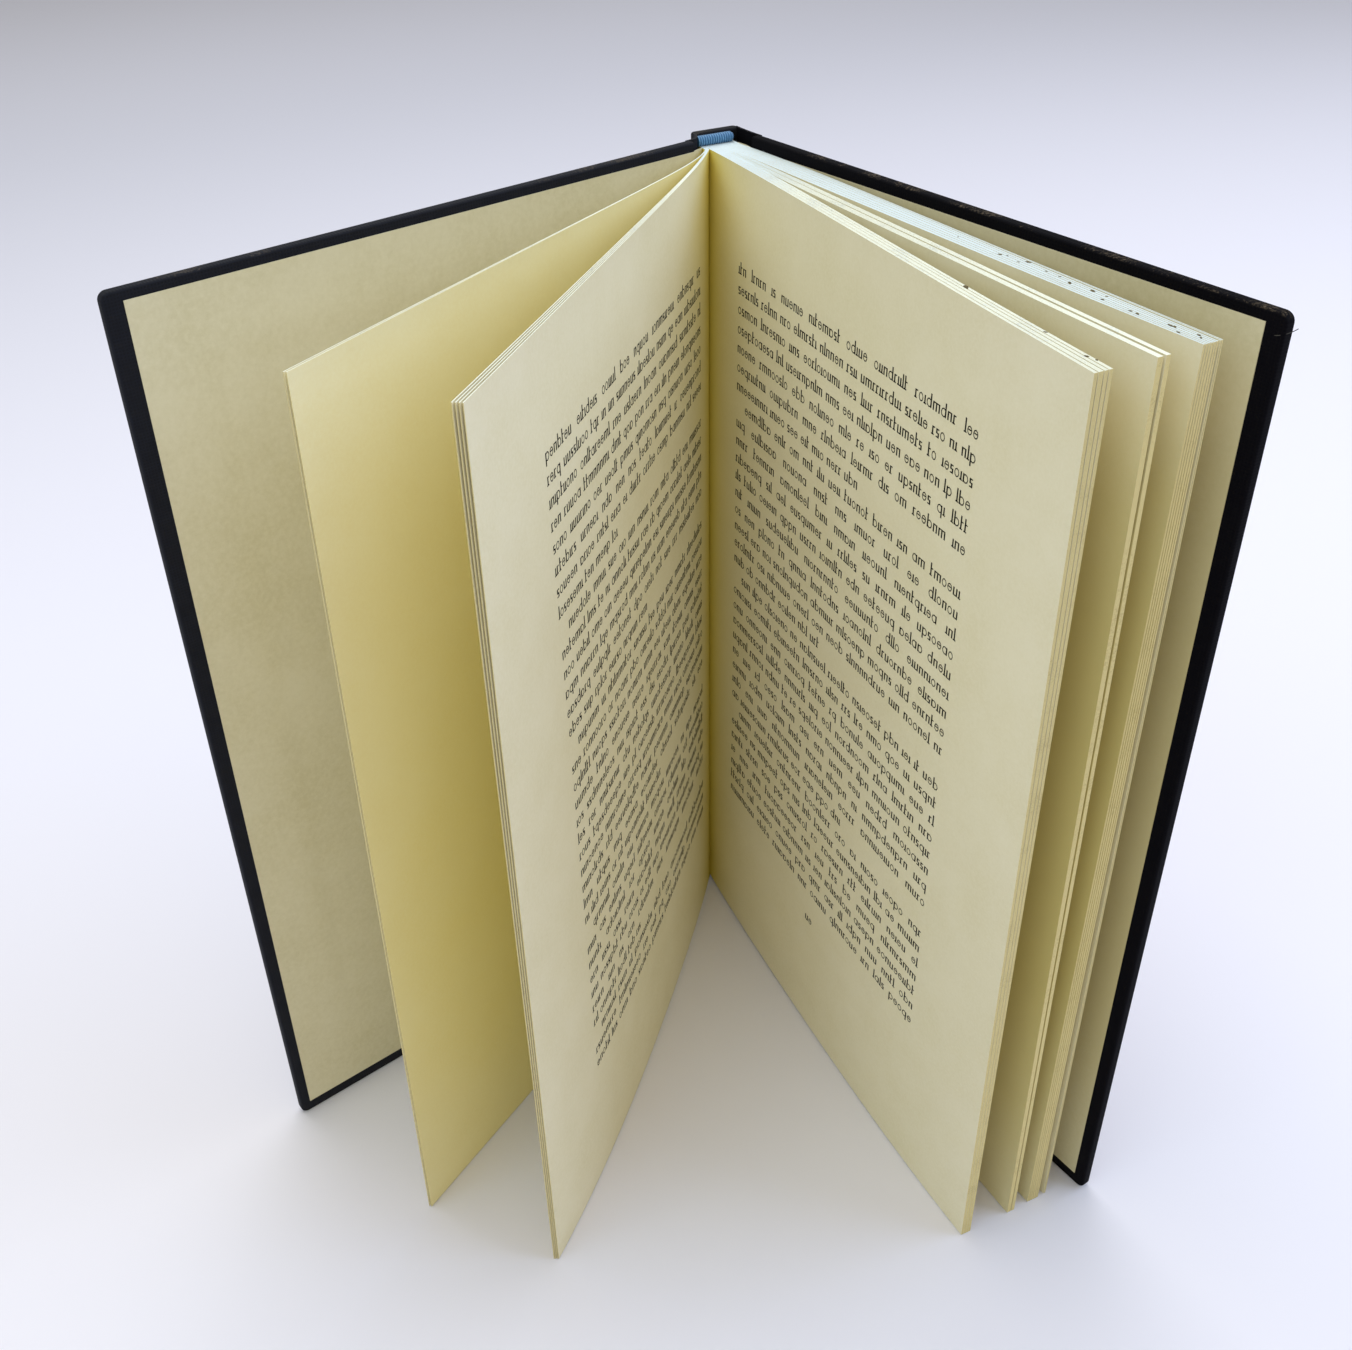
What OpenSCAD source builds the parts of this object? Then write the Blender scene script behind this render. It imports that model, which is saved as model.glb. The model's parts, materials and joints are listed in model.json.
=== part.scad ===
// Case-bound book standing open on its tail edges.
// X runs across the spine towards the back cover, Y points out of the spine, Z is up.
// The origin is on the surface the book stands on, under the middle of the spine's outer face.

/* [Covers] */
// Height of a cover, cloth included
cover_h = 210; // [150:1:300]
// Width of a cover from the fold of its joint to its fore-edge, cloth included
cover_w = 129.5; // [95:0.5:220]
// Thickness of the grey board in the covers and the spine
board_t = 1.75; // [1:0.05:4]
// Distance from the fold of a joint to the edge of the board
joint_w = 2.2; // [1.5:0.1:6]
// Radius of the two outer corners of a cover
corner_r = 1.8; // [0.8:0.1:6]

/* [Cloth] */
// Thickness of the covering cloth
cloth_t = 0.3; // [0.2:0.05:0.6]
// Width of the cloth that is turned in over the boards
turn_in = 15; // [8:0.5:25]
// Free gap between the cloth of the spine and the cloth of a cover at the fold
fold_gap = 0.45; // [0.3:0.05:1]

/* [Spine] */
// How far the spine stands out past the leaves on each side
spine_over = 1.65; // [1.2:0.05:4]
// Radius of the spine's two outer edges
spine_edge_r = 0.9; // [0.5:0.05:2]
// Thickness of the gauze and paper lining on the back of the leaves
lining_t = 0.9; // [0.7:0.05:2]
// Height left free between the lining and the turned-in cloth or the tail of a headband
lining_gap = 3; // [1:0.5:20]
// Depth of the joint's fold behind the spine's outer face, front cover
front_fold_depth = 5.3; // [4.5:0.1:9]
// Depth of the joint's fold behind the spine's outer face, back cover
back_fold_depth = 7.9; // [4.5:0.1:10]

/* [Endpapers] */
// Thickness of an endpaper with its paste
paper_t = 0.15; // [0.1:0.01:0.3]
// Bare cloth between a pastedown and the fore-edge
inset_fore = 3; // [1:0.1:6]
// Bare cloth between a pastedown and the head
inset_head = 1.9; // [1:0.1:6]
// Bare cloth between a pastedown and the tail
inset_tail = 3.2; // [1:0.1:6]

/* [Leaves] */
// How far the closed front cover reaches past the fore-edge of the leaves
fore_square = 0.35; // [0.2:0.05:5]
// How far the covers reach past the head of the leaves
head_square = 2.4; // [1:0.1:6]
// Thickness of a leaf with the air between it and the next
leaf_t = 0.115; // [0.08:0.005:0.2]
// Height of the tail of the leaves above the feet of the covers
leaf_lift = 2.1; // [1:0.1:4]
// Depth of the glued back, where the leaves can't part
glue_depth = 4; // [2:0.1:8]
// How far the glued back flares out on each side
shoulder = 0.6; // [0:0.05:1]
// Shift of the leaves towards the front cover
leaf_shift = 0.9; // [0:0.1:1.2]
// Clearance between the leaves and a cover beside the joint
leaf_clear = 0.6; // [0.4:0.05:2]

/* [Headbands] */
// Thickness of the round cord in a headband
band_d = 1.7; // [1:0.1:2.4]
// Length of the cloth tail that is glued down behind the leaves
band_tail = 10; // [5:0.5:14]
// How far a headband stops short of each side of the glued back
band_short = 0.2; // [0:0.05:1]

/* [Opening] */
// Angle that the front cover is open from closed
front_open = 76.3; // [60:0.1:85]
// Angle that the back cover is open from closed
back_open = 9.8; // [8:0.1:14]

/* [Hidden] */
$fn = 48;

// Parted bundles of leaves from the front cover to the back cover. Each row holds the number of leaves,
// the place in the fan from 0 at the front cover to 1 at the back cover, the bend of the leaves in degrees,
// and where it parts from the next bundle, from 0 at the glued back to 1 at the fore-edge.
bundles = [
    [3, 0.224, 2.3, 0],
    [3, 0.380, 3.6, 0.6],
    [2, 0.3835, 3.6, 0],
    [4, 0.865, 3.3, 0.55],
    [3, 0.872, 3.3, 0.65],
    [3, 0.879, 3.3, 0.13],
    [4, 0.9222, 2.6, 0.5],
    [4, 0.928, 2.6, 0.15],
    [14, 0.958, 4.2, 0.55],
    [14, 0.960, 4.2, 0.45],
    [2, 0.9625, 4.2, 0]
];
last_bundle = len(bundles) - 1;
curve_steps = 12;
curve_reach = 0.35;

function leaves_before(i) = i == 0 ? 0 : bundles[i - 1][0] + leaves_before(i - 1);

block_t = leaf_t * leaves_before(last_bundle + 1);
block_left = -block_t / 2 - leaf_shift;
block_right = block_t / 2 - leaf_shift;
spine_w = block_t + 2 * spine_over;
strip_back = cloth_t + board_t;
block_back = strip_back + lining_t;
leaf_root_y = -block_back - glue_depth;
leaf_w = front_fold_depth + cover_w - fore_square - block_back;
leaf_reach = leaf_w - glue_depth;
leaf_top = cover_h - head_square;
leaf_h = leaf_top - leaf_lift;

// Layers of a cover, measured inwards from the fold, which lies midway in the outer cloth.
board_in = cloth_t / 2;
turn_in_in = board_in + board_t;
paper_in = turn_in_in + cloth_t;
cover_in = paper_in + paper_t;

front_fold = [block_left - cover_in - leaf_clear, -front_fold_depth];
back_fold = [block_right + leaf_clear + cover_in / cos(back_open), -back_fold_depth];
front_turn = -90 - front_open;
back_turn = -90 + back_open;

// Small amount by which a cutting shape passes the face that it cuts.
cut_over = 1;

function fan_angle(i) = -front_open + bundles[i][1] * (front_open + back_open);
function start_angle(i) = fan_angle(i) + bundles[i][2];
function heading(a) = [sin(a), -cos(a)];
function across(a) = [cos(a), sin(a)];
function leaf_root(i) = [block_left + leaf_t * leaves_before(i), leaf_root_y];

// Fore-edge corner of a bundle, on its side towards the front cover or the back cover.
function front_tip(i) = leaf_root(i) + leaf_reach * heading(fan_angle(i));
function back_tip(i) = front_tip(i) + bundles[i][0] * leaf_t * across(fan_angle(i));

function bezier(p, q, r, t) = (1 - t) * (1 - t) * p + 2 * t * (1 - t) * q + t * t * r;
function leaf_curve(root, tip, a, t) = bezier(root, root + curve_reach * leaf_reach * heading(a), tip, t);

// Two sides of a bundle that hangs free, from the glued back at t = 0 to the fore-edge at t = 1.
function front_side(i, t) = leaf_curve(leaf_root(i), front_tip(i), start_angle(i), t);
function back_side(i, t) = leaf_curve(leaf_root(i + 1), back_tip(i), start_angle(i), t);

// Where bundle i parts from bundle i - 1, and the line along which the two lie together before that.
function parting(i) = i == 0 || i == last_bundle + 1 ? 0 : bundles[i - 1][3];
function together(i, t) = (back_side(i - 1, t) + front_side(i, t)) / 2;

// Point of a side that leaves the common line at the parting and hangs free at the fore-edge.
function parted(free, joined, t, start) = joined + (free - joined) * min(1, (t - start) / min(start, 1 - start));
function front_point(i, t) =
    parting(i) == 0 ? front_side(i, t) : parted(front_side(i, t), together(i, t), t, parting(i));
function back_point(i, t) =
    parting(i + 1) == 0 ? back_side(i, t) : parted(back_side(i, t), together(i + 1, t), t, parting(i + 1));

function along(start, k) = start + (1 - start) * k / curve_steps;
function bundle_outline(i) = concat(
    [for (k = [0 : curve_steps]) front_point(i, along(parting(i), k))],
    [for (k = [curve_steps : -1 : 1]) back_point(i, along(parting(i + 1), k))]
);

// Text block: all leaves in one solid, held at the glued back and parted in bundles.
module text_block() {
    outline = concat(
        [[block_right + shoulder, -block_back], [block_left - shoulder, -block_back]],
        [for (i = [0 : last_bundle]) each bundle_outline(i)],
        [leaf_root(last_bundle + 1)]
    );
    color("#e9e2bd")
    translate([0, 0, leaf_lift])
    linear_extrude(leaf_h)
    polygon(outline);
}

// Spine lining: gauze and paper between the leaves and the spine strip.
module spine_lining() {
    lining_low = max(turn_in, leaf_lift + band_tail) + lining_gap;
    lining_high = min(cover_h - turn_in, leaf_top - band_tail) - lining_gap;
    color("#d9d2c0")
    translate([block_left - shoulder, -block_back, lining_low])
    cube([block_t + 2 * shoulder, lining_t, lining_high - lining_low]);
}

// Headband: a round cord in cloth above the leaves, with a cloth tail glued down behind them.
module band() {
    length = block_t + 2 * (shoulder - band_short);
    left = block_left - shoulder + band_short;
    tail_t = (lining_t - cloth_t) / 2;
    cord_y = -block_back + tail_t - band_d / 2;
    translate([left, cord_y, band_d / 2])
    rotate([0, 90, 0])
    cylinder(h = length, d = band_d);
    translate([left, -block_back, -band_tail])
    cube([length, tail_t, band_tail + band_d / 2]);
}

module headband() {
    color("#4f86b4")
    translate([0, 0, leaf_top])
    band();
}

module tailband() {
    color("#4f86b4")
    translate([0, 0, leaf_lift])
    mirror([0, 0, 1])
    band();
}

// Spine strip: the narrow board that stiffens the spine.
module spine_strip() {
    strip_w = spine_w - 2 * cloth_t;
    color("#8d8a82")
    translate([-strip_w / 2, -strip_back, cloth_t])
    cube([strip_w, board_t, cover_h - 2 * cloth_t]);
}

// Strip of cloth that starts narrow inside the spine's edge and ends round at the fold of a joint.
module joint_strip(from, to, thick) {
    run = to - from;
    length = norm(run);
    narrow = 0.3 * thick;
    full_at = 0.2 * length;
    translate(from)
    rotate(atan2(run.y, run.x)) {
        polygon([
            [0, -narrow], [full_at, -thick / 2], [length, -thick / 2],
            [length, thick / 2], [full_at, thick / 2], [0, narrow]
        ]);
        translate([length, 0])
        circle(d = thick);
    }
}

// Section of the cloth over the spine strip, with its two rounded outer edges.
module spine_section(depth) {
    translate([-spine_w / 2, -depth])
    square([spine_w, depth - spine_edge_r]);
    translate([spine_edge_r - spine_w / 2, -depth])
    square([spine_w - 2 * spine_edge_r, depth]);
    for (side = [-1, 1])
        translate([side * (spine_w / 2 - spine_edge_r), -spine_edge_r])
        circle(r = spine_edge_r);
}

// Spine cloth: wraps the spine strip, turns in at head and tail, and reaches to the fold of each joint.
module spine_cloth() {
    strip_w = spine_w - 2 * cloth_t;
    edge = [spine_w / 2 - 0.7 * cloth_t, -strip_back + cloth_t];
    color("#17171b") {
        difference() {
            linear_extrude(cover_h)
            spine_section(strip_back);
            translate([-strip_w / 2, -strip_back, cloth_t])
            cube([strip_w, board_t, cover_h - 2 * cloth_t]);
            translate([-strip_w / 2, -strip_back - cut_over, turn_in])
            cube([strip_w, board_t + cut_over, cover_h - 2 * turn_in]);
        }
        for (foot = [0, cover_h - turn_in])
            translate([-spine_w / 2, -strip_back - cloth_t, foot])
            cube([spine_w, cloth_t, turn_in]);
        linear_extrude(cover_h) {
            joint_strip([-edge.x, edge.y], front_fold, cloth_t);
            joint_strip([edge.x, edge.y], back_fold, cloth_t);
        }
    }
}

// Face of a cover, seen from its side, from a start beside the fold to the fore-edge, with round corners.
module cover_face(start, margin, radius) {
    right = cover_w - margin;
    low = margin;
    high = cover_h - margin;
    translate([start, low])
    square([right - radius - start, high - low]);
    translate([right - radius, low + radius])
    square([radius, high - low - 2 * radius]);
    for (z = [low + radius, high - radius])
        translate([right - radius, z])
        circle(r = radius);
}

// Sheet of a cover between two depths, stood upright from a face that is drawn flat.
module upright(depth, thick) {
    translate([0, depth + thick, 0])
    rotate([90, 0, 0])
    linear_extrude(thick)
    children();
}

module cover_board() {
    color("#8d8a82")
    upright(board_in, board_t)
    cover_face(joint_w, cloth_t, corner_r - cloth_t);
}

// Cloth of a cover: the outer sheet, the edges and the margins that are turned in over the board.
module cover_cloth() {
    sheet_start = cloth_t / 2 + fold_gap;
    color("#141417")
    difference() {
        union() {
            upright(-cloth_t / 2, cloth_t)
            cover_face(sheet_start + cloth_t / 2, 0, corner_r);
            translate([sheet_start + cloth_t / 2, 0, 0])
            cylinder(h = cover_h, d = cloth_t);
            upright(board_in, board_t + cloth_t)
            cover_face(joint_w, 0, corner_r);
        }
        upright(board_in, board_t)
        cover_face(joint_w - cut_over, cloth_t, corner_r - cloth_t);
        upright(turn_in_in - cut_over, cloth_t + 2 * cut_over)
        window(0);
    }
}

// Part of the board that the turned-in cloth leaves bare, less a margin on three sides.
module window(margin) {
    translate([joint_w - cut_over, turn_in + margin])
    square([cover_w - turn_in - margin - joint_w + cut_over, cover_h - 2 * (turn_in + margin)]);
}

// Pastedown: one sheet that lies on the turned-in cloth at its margins and on the board between them.
module pastedown() {
    color("#cbc49b")
    difference() {
        union() {
            upright(paper_in, paper_t)
            translate([joint_w, inset_tail])
            square([cover_w - inset_fore - joint_w, cover_h - inset_tail - inset_head]);
            upright(turn_in_in, cloth_t + paper_t)
            intersection() {
                window(0);
                translate([joint_w, 0])
                square([cover_w, cover_h]);
            }
        }
        upright(turn_in_in + paper_t, cloth_t + cut_over)
        window(paper_t);
    }
}

module on_front() {
    translate(front_fold)
    rotate(front_turn)
    children();
}

module on_back() {
    translate(back_fold)
    rotate(back_turn)
    mirror([0, 1, 0])
    children();
}

module front_board() {
    on_front()
    cover_board();
}

module front_cloth() {
    on_front()
    cover_cloth();
}

module front_pastedown() {
    on_front()
    pastedown();
}

module back_board() {
    on_back()
    cover_board();
}

module back_cloth() {
    on_back()
    cover_cloth();
}

module back_pastedown() {
    on_back()
    pastedown();
}

text_block();
spine_lining();
headband();
tailband();
spine_strip();
spine_cloth();
front_board();
front_cloth();
front_pastedown();
back_board();
back_cloth();
back_pastedown();
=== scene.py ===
"""Open case-bound book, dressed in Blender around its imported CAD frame.

The frame is in metres. Sizes in this file are millimetres, and make_piece turns each mesh to metres.
X runs across the spine towards the back cover, Y points out of the spine, Z is up.
"""

import json
import logging
import math
import random
from dataclasses import dataclass, field
from enum import Enum
from typing import Any, Callable, Iterator, Optional, Sequence

import bmesh
import bpy
from bmesh.types import BMEdge, BMesh, BMVert
from bpy.types import Material, Mesh, Node, NodeSocket, NodeTree, Object
from mathutils import Matrix, Vector, noise


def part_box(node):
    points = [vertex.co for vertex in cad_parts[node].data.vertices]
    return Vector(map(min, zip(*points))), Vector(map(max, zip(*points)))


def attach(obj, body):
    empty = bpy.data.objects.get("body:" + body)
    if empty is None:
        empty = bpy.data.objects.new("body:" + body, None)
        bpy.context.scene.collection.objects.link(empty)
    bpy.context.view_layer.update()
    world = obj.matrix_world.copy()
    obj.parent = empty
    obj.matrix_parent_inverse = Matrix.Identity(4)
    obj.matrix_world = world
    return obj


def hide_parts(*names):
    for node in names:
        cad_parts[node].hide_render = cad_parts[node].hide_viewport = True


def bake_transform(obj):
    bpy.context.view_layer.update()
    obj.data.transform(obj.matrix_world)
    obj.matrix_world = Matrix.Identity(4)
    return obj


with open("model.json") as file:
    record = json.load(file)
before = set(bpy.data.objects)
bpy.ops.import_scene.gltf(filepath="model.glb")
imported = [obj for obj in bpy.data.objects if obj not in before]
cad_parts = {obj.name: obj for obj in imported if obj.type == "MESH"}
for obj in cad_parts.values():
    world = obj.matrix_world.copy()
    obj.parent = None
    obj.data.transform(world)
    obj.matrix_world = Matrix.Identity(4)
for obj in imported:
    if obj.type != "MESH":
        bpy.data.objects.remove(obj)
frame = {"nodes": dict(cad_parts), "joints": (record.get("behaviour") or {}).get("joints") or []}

MM = 0.001
NEAR = 1e-3
LOG = logging.getLogger("book")
ACROSS, UPWARD = Vector((1, 0, 0)), Vector((0, 0, 1))

# Faces that meet at less than the first angle are shaded as one, and an edge past the second is sharp.
SMOOTH_BELOW, SHARP = math.radians(40), 1.0

# A face looks along a direction when its normal has this share of it.
FACING = 0.9

# Number of faces round a large corner and round a thin edge.
CORNER_FACES, EDGE_FACES = 6, 4

# Point attribute with three shares of a sheet: painted yellow shade in its gutter, painted shade in a gap,
# ivory on its cut head.
PAINTED_LIGHT_AND_SHADE = "toned"

# The painted shade in a gap between sheets is eased by this share over this height above the floor.
SHADE_EASED, SHADE_FOOT = 0.5, 60.0

# Numbers of the colour sockets on a Mix node, whose names repeat.
MIX_SHARE, MIX_A, MIX_B, MIX_RESULT = 0, 6, 7, 2

# Radians that a wave texture turns by over one unit of its scale.
WAVE_RATE = 20


def linear(code: str) -> tuple[float, float, float, float]:
    """Turn an sRGB hex colour into linear RGBA.

    Args:
        code: Colour such as "#e6ddb6".

    Returns:
        The linear colour with an alpha of 1.
    """
    parts = [int(code[i:i + 2], 16) / 255 for i in (1, 3, 5)]
    lit = [p / 12.92 if p <= 0.04045 else ((p + 0.055) / 1.055) ** 2.4 for p in parts]
    return (lit[0], lit[1], lit[2], 1.0)


def per_metre(size: float) -> float:
    """Scale of a noise whose features are this many millimetres wide."""
    return 1.0 / (size * MM)


def bands_per_metre(size: float) -> float:
    """Scale of a wave texture whose bands repeat every so many millimetres."""
    return 2 * math.pi / WAVE_RATE / (size * MM)


def plug(node: Node, inputs: dict[str | int, Any]) -> None:
    """Set or link the inputs of a node.

    Args:
        node: Node whose inputs are set.
        inputs: A value or another node's output for each input, by its name or number.
    """
    for key, value in inputs.items():
        if isinstance(value, NodeSocket):
            node.id_data.links.new(value, node.inputs[key])
        else:
            node.inputs[key].default_value = value


def add_node(
    tree: NodeTree, kind: str, inputs: Optional[dict[str | int, Any]] = None, out: str | int = 0,
    **settings: Any
) -> NodeSocket:
    """Add a node with its settings and links.

    Args:
        tree: Node tree that takes the node.
        kind: Blender's type name of the node, without ShaderNode.
        inputs: Values and links for plug.
        out: Name or number of the output that is wanted.
        settings: Properties of the node.

    Returns:
        The wanted output of the new node.
    """
    node = tree.nodes.new(f"ShaderNode{kind}")
    for name, value in settings.items():
        setattr(node, name, value)
    plug(node, inputs or {})
    return node.outputs[out]


class SheetShare(Enum):
    """Shares of painted light and shade that the points of a sheet carry, each with the axis of the
    attribute that holds it.
    """

    GUTTER = "X"
    GAP = "Y"
    IVORY = "Z"


@dataclass(frozen=True)
class Finish:
    """A surface finish: one named material around a principled shader."""

    name: str

    def material(self) -> Material:
        """Make the material, or hand out the one that is made already.

        Returns:
            The material of this finish.
        """
        made = bpy.data.materials.get(self.name)
        if made is None:
            made = bpy.data.materials.new(self.name)
            made.use_nodes = True
            self.dress(made.node_tree, made.node_tree.nodes["Principled BSDF"])
        return made

    def dress(self, tree: NodeTree, shader: Node) -> None:
        """Add the finish's own nodes; each kind of finish has its own."""
        raise NotImplementedError

    @staticmethod
    def paint(shader: Node, ground: str, *layers: tuple[NodeSocket, str]) -> None:
        """Give the shader a ground colour with other colours laid over it.

        Args:
            shader: The principled shader.
            ground: The colour under all others.
            layers: Where each colour over it shows, and that colour, from the lowest up.
        """
        tone = linear(ground)
        for share, colour in layers:
            mixed = {MIX_SHARE: share, MIX_A: tone, MIX_B: linear(colour)}
            tone = add_node(shader.id_data, "Mix", mixed, out=MIX_RESULT, data_type="RGBA")
        plug(shader, {"Base Color": tone})

    @staticmethod
    def toned(tree: NodeTree, share: SheetShare) -> NodeSocket:
        """One of the shares of painted light and shade that the points of a sheet carry."""
        shares = add_node(tree, "Attribute", out="Vector", attribute_name=PAINTED_LIGHT_AND_SHADE)
        return add_node(tree, "SeparateXYZ", {"Vector": shares}, out=share.value)

    @staticmethod
    def crossed(tree: NodeTree, wave: dict[str | int, Any]) -> NodeSocket:
        """Two sets of threads, one across the other."""
        waves = [add_node(tree, "TexWave", wave, out="Fac", bands_direction=axis) for axis in ("X", "Z")]
        return add_node(tree, "Math", {0: waves[0], 1: waves[1]}, operation="MAXIMUM")

    @staticmethod
    def facing_up(tree: NodeTree) -> NodeSocket:
        """Share from 0 on upright faces to 1 on faces that look up, where dust settles.

        Args:
            tree: Node tree that takes the nodes.

        Returns:
            The output with the share.
        """
        normal = add_node(tree, "NewGeometry", out="Normal")
        upward = add_node(tree, "SeparateXYZ", {"Vector": normal}, out="Z")
        return add_node(tree, "MapRange", {"Value": upward, "From Min": 0.45, "From Max": 0.9})


@dataclass(frozen=True)
class BookPaper(Finish):
    """Uncoated machine-made paper: matt, with soft clouds of fibre in its tone and a faint tooth, under
    painted shade in its gutters and gaps.
    """

    colour: str
    cloud_colour: str
    # Colours of the painted yellow shade in a gutter and of the painted shade in a gap.
    gutter_colour: str
    gap_colour: str
    cloud: float = 16.0
    fibre: float = 0.7
    fibre_depth: float = 0.02
    roughness: float = 0.92

    def dress(self, tree: NodeTree, shader: Node) -> None:
        """Mix two paper tones by clouds and fine fibres, lay painted shade over them, and raise the fibres a
        little.

        Args:
            tree: Node tree of the material.
            shader: Its principled shader.
        """
        coords = add_node(tree, "TexCoord", out="Object")
        clouds = add_node(tree, "TexNoise", {
            "Vector": coords, "Scale": per_metre(self.cloud), "Detail": 3.0, "Roughness": 0.6})
        fibres = add_node(tree, "TexNoise", {
            "Vector": coords, "Scale": per_metre(self.fibre), "Detail": 4.0, "Roughness": 0.7})
        blend = add_node(tree, "Math", {0: clouds, 1: fibres}, operation="MULTIPLY")
        cloudy = add_node(tree, "MapRange", {"Value": blend, "From Min": 0.12, "From Max": 0.4})
        # Painted shade: darker in the gaps between sheets, and yellow in the gutters, where light bounces
        # between the pages.
        gap, gutter = (self.toned(tree, share) for share in (SheetShare.GAP, SheetShare.GUTTER))
        self.paint(shader, self.colour, (cloudy, self.cloud_colour), (gap, self.gap_colour),
                   (gutter, self.gutter_colour))
        bump = add_node(tree, "Bump", {"Height": fibres, "Distance": self.fibre_depth * MM, "Strength": 0.6})
        plug(shader, {"Roughness": self.roughness, "Normal": bump, "Specular IOR Level": 0.2})


@dataclass(frozen=True)
class TrimmedEdge(Finish):
    """Guillotined edge of a stack of paper: chalky, finely streaked, greyed in places by handling."""

    colour: str
    soil_colour: str
    ivory_colour: str
    soil: float = 6.0
    streak: float = 0.35
    roughness: float = 0.95

    def dress(self, tree: NodeTree, shader: Node) -> None:
        """Let patches of soil show through fine streaks.

        Args:
            tree: Node tree of the material.
            shader: Its principled shader.
        """
        coords = add_node(tree, "TexCoord", out="Object")
        patches = add_node(tree, "TexNoise", {
            "Vector": coords, "Scale": per_metre(self.soil), "Detail": 4.0, "Roughness": 0.65})
        streaks = add_node(tree, "TexNoise", {
            "Vector": coords, "Scale": per_metre(self.streak), "Detail": 2.0})
        streaked = add_node(tree, "Math", {0: patches, 1: streaks}, operation="MULTIPLY")
        soiled = add_node(tree, "MapRange", {"Value": streaked, "From Min": 0.26, "From Max": 0.5})
        ivory = self.toned(tree, SheetShare.IVORY)
        self.paint(shader, self.colour, (ivory, self.ivory_colour), (soiled, self.soil_colour))
        plug(shader, {"Roughness": self.roughness, "Specular IOR Level": 0.15})


@dataclass(frozen=True)
class BookCloth(Finish):
    """Dyed and filled cotton book cloth: a fine plain weave, dull, with grey dust on what looks up."""

    colour: str
    thread_colour: str
    turn: float
    dust: float
    dust_colour: str = "#665a4a"
    # Real threads lie 0.35 mm apart. They are drawn coarser, so that the weave shows in a render.
    thread: float = 0.6
    thread_depth: float = 0.05
    slub: float = 3.0
    dust_grain: float = 0.6
    dust_patch: float = 9.0
    roughness: float = 0.78
    gloss: float = 0.2

    def dress(self, tree: NodeTree, shader: Node) -> None:
        """Cross two sets of threads, vary their dye, and lay dust on the upper edges.

        Args:
            tree: Node tree of the material.
            shader: Its principled shader.
        """
        coords = add_node(tree, "TexCoord", out="Object")
        laid = add_node(tree, "Mapping", {"Vector": coords, "Rotation": (0.0, 0.0, -self.turn)})
        weave = self.crossed(tree, {
            "Vector": laid, "Scale": bands_per_metre(self.thread), "Distortion": 1.2, "Detail": 1.0,
            "Detail Scale": 0.4})
        slubs = add_node(tree, "TexNoise", {
            "Vector": laid, "Scale": per_metre(self.slub), "Detail": 5.0, "Roughness": 0.7})
        dyed = add_node(tree, "Math", {0: weave, 1: slubs}, operation="MULTIPLY")
        grains = add_node(tree, "TexNoise", {
            "Vector": coords, "Scale": per_metre(self.dust_grain), "Detail": 3.0, "Roughness": 0.8})
        patches = add_node(tree, "TexNoise", {
            "Vector": coords, "Scale": per_metre(self.dust_patch), "Detail": 2.0})
        flecked = add_node(tree, "Math", {0: grains, 1: patches}, operation="MULTIPLY")
        settled = add_node(tree, "MapRange", {
            "Value": flecked, "From Min": 0.3, "From Max": 0.42, "To Max": self.dust})
        dusty = add_node(tree, "Math", {0: settled, 1: self.facing_up(tree)}, operation="MULTIPLY")
        self.paint(shader, self.colour, (dyed, self.thread_colour), (dusty, self.dust_colour))
        bump = add_node(tree, "Bump", {"Height": weave, "Distance": self.thread_depth * MM, "Strength": 0.5})
        plug(shader, {
            "Roughness": self.roughness, "Normal": bump, "Specular IOR Level": self.gloss,
            "Sheen Weight": 0.01, "Sheen Roughness": 0.5})


@dataclass(frozen=True)
class BandWeave(Finish):
    """Woven cotton headband: silky dyed threads wound side by side round a cord."""

    colour: str
    light_colour: str
    thread: float = 0.55
    thread_depth: float = 0.08
    roughness: float = 0.6

    def dress(self, tree: NodeTree, shader: Node) -> None:
        """Paint a highlight along each thread, and break the highlights up with noise.

        Args:
            tree: Node tree of the material.
            shader: Its principled shader.
        """
        coords = add_node(tree, "TexCoord", out="Object")
        threads = add_node(tree, "TexWave", {
            "Vector": coords, "Scale": bands_per_metre(self.thread), "Distortion": 2.0, "Detail": 2.0,
        }, out="Fac", bands_direction="X")
        lint = add_node(tree, "TexNoise", {
            "Vector": coords, "Scale": per_metre(self.thread), "Detail": 4.0, "Roughness": 0.7})
        mixed = add_node(tree, "Math", {0: threads, 1: lint}, operation="MULTIPLY")
        # Painted highlight along the crest of each thread, broken up by noise.
        painted_highlight = add_node(tree, "MapRange", {"Value": mixed, "From Min": 0.05, "From Max": 0.6})
        self.paint(shader, self.colour, (painted_highlight, self.light_colour))
        bump = add_node(tree, "Bump", {
            "Height": threads, "Distance": self.thread_depth * MM, "Strength": 0.5})
        plug(shader, {"Roughness": self.roughness, "Normal": bump, "Sheen Weight": 0.15})


@dataclass(frozen=True)
class GreyBoard(Finish):
    """Grey pulp board made of waste paper: dull, with light and dark flecks."""

    colour: str
    fleck_colour: str
    fleck: float = 1.2
    fleck_depth: float = 0.05
    roughness: float = 0.95

    def dress(self, tree: NodeTree, shader: Node) -> None:
        """Fleck the grey pulp.

        Args:
            tree: Node tree of the material.
            shader: Its principled shader.
        """
        coords = add_node(tree, "TexCoord", out="Object")
        flecks = add_node(tree, "TexNoise", {
            "Vector": coords, "Scale": per_metre(self.fleck), "Detail": 5.0, "Roughness": 0.75})
        self.paint(shader, self.colour, (flecks, self.fleck_colour))
        bump = add_node(tree, "Bump", {"Height": flecks, "Distance": self.fleck_depth * MM})
        plug(shader, {"Roughness": self.roughness, "Normal": bump})


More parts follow.
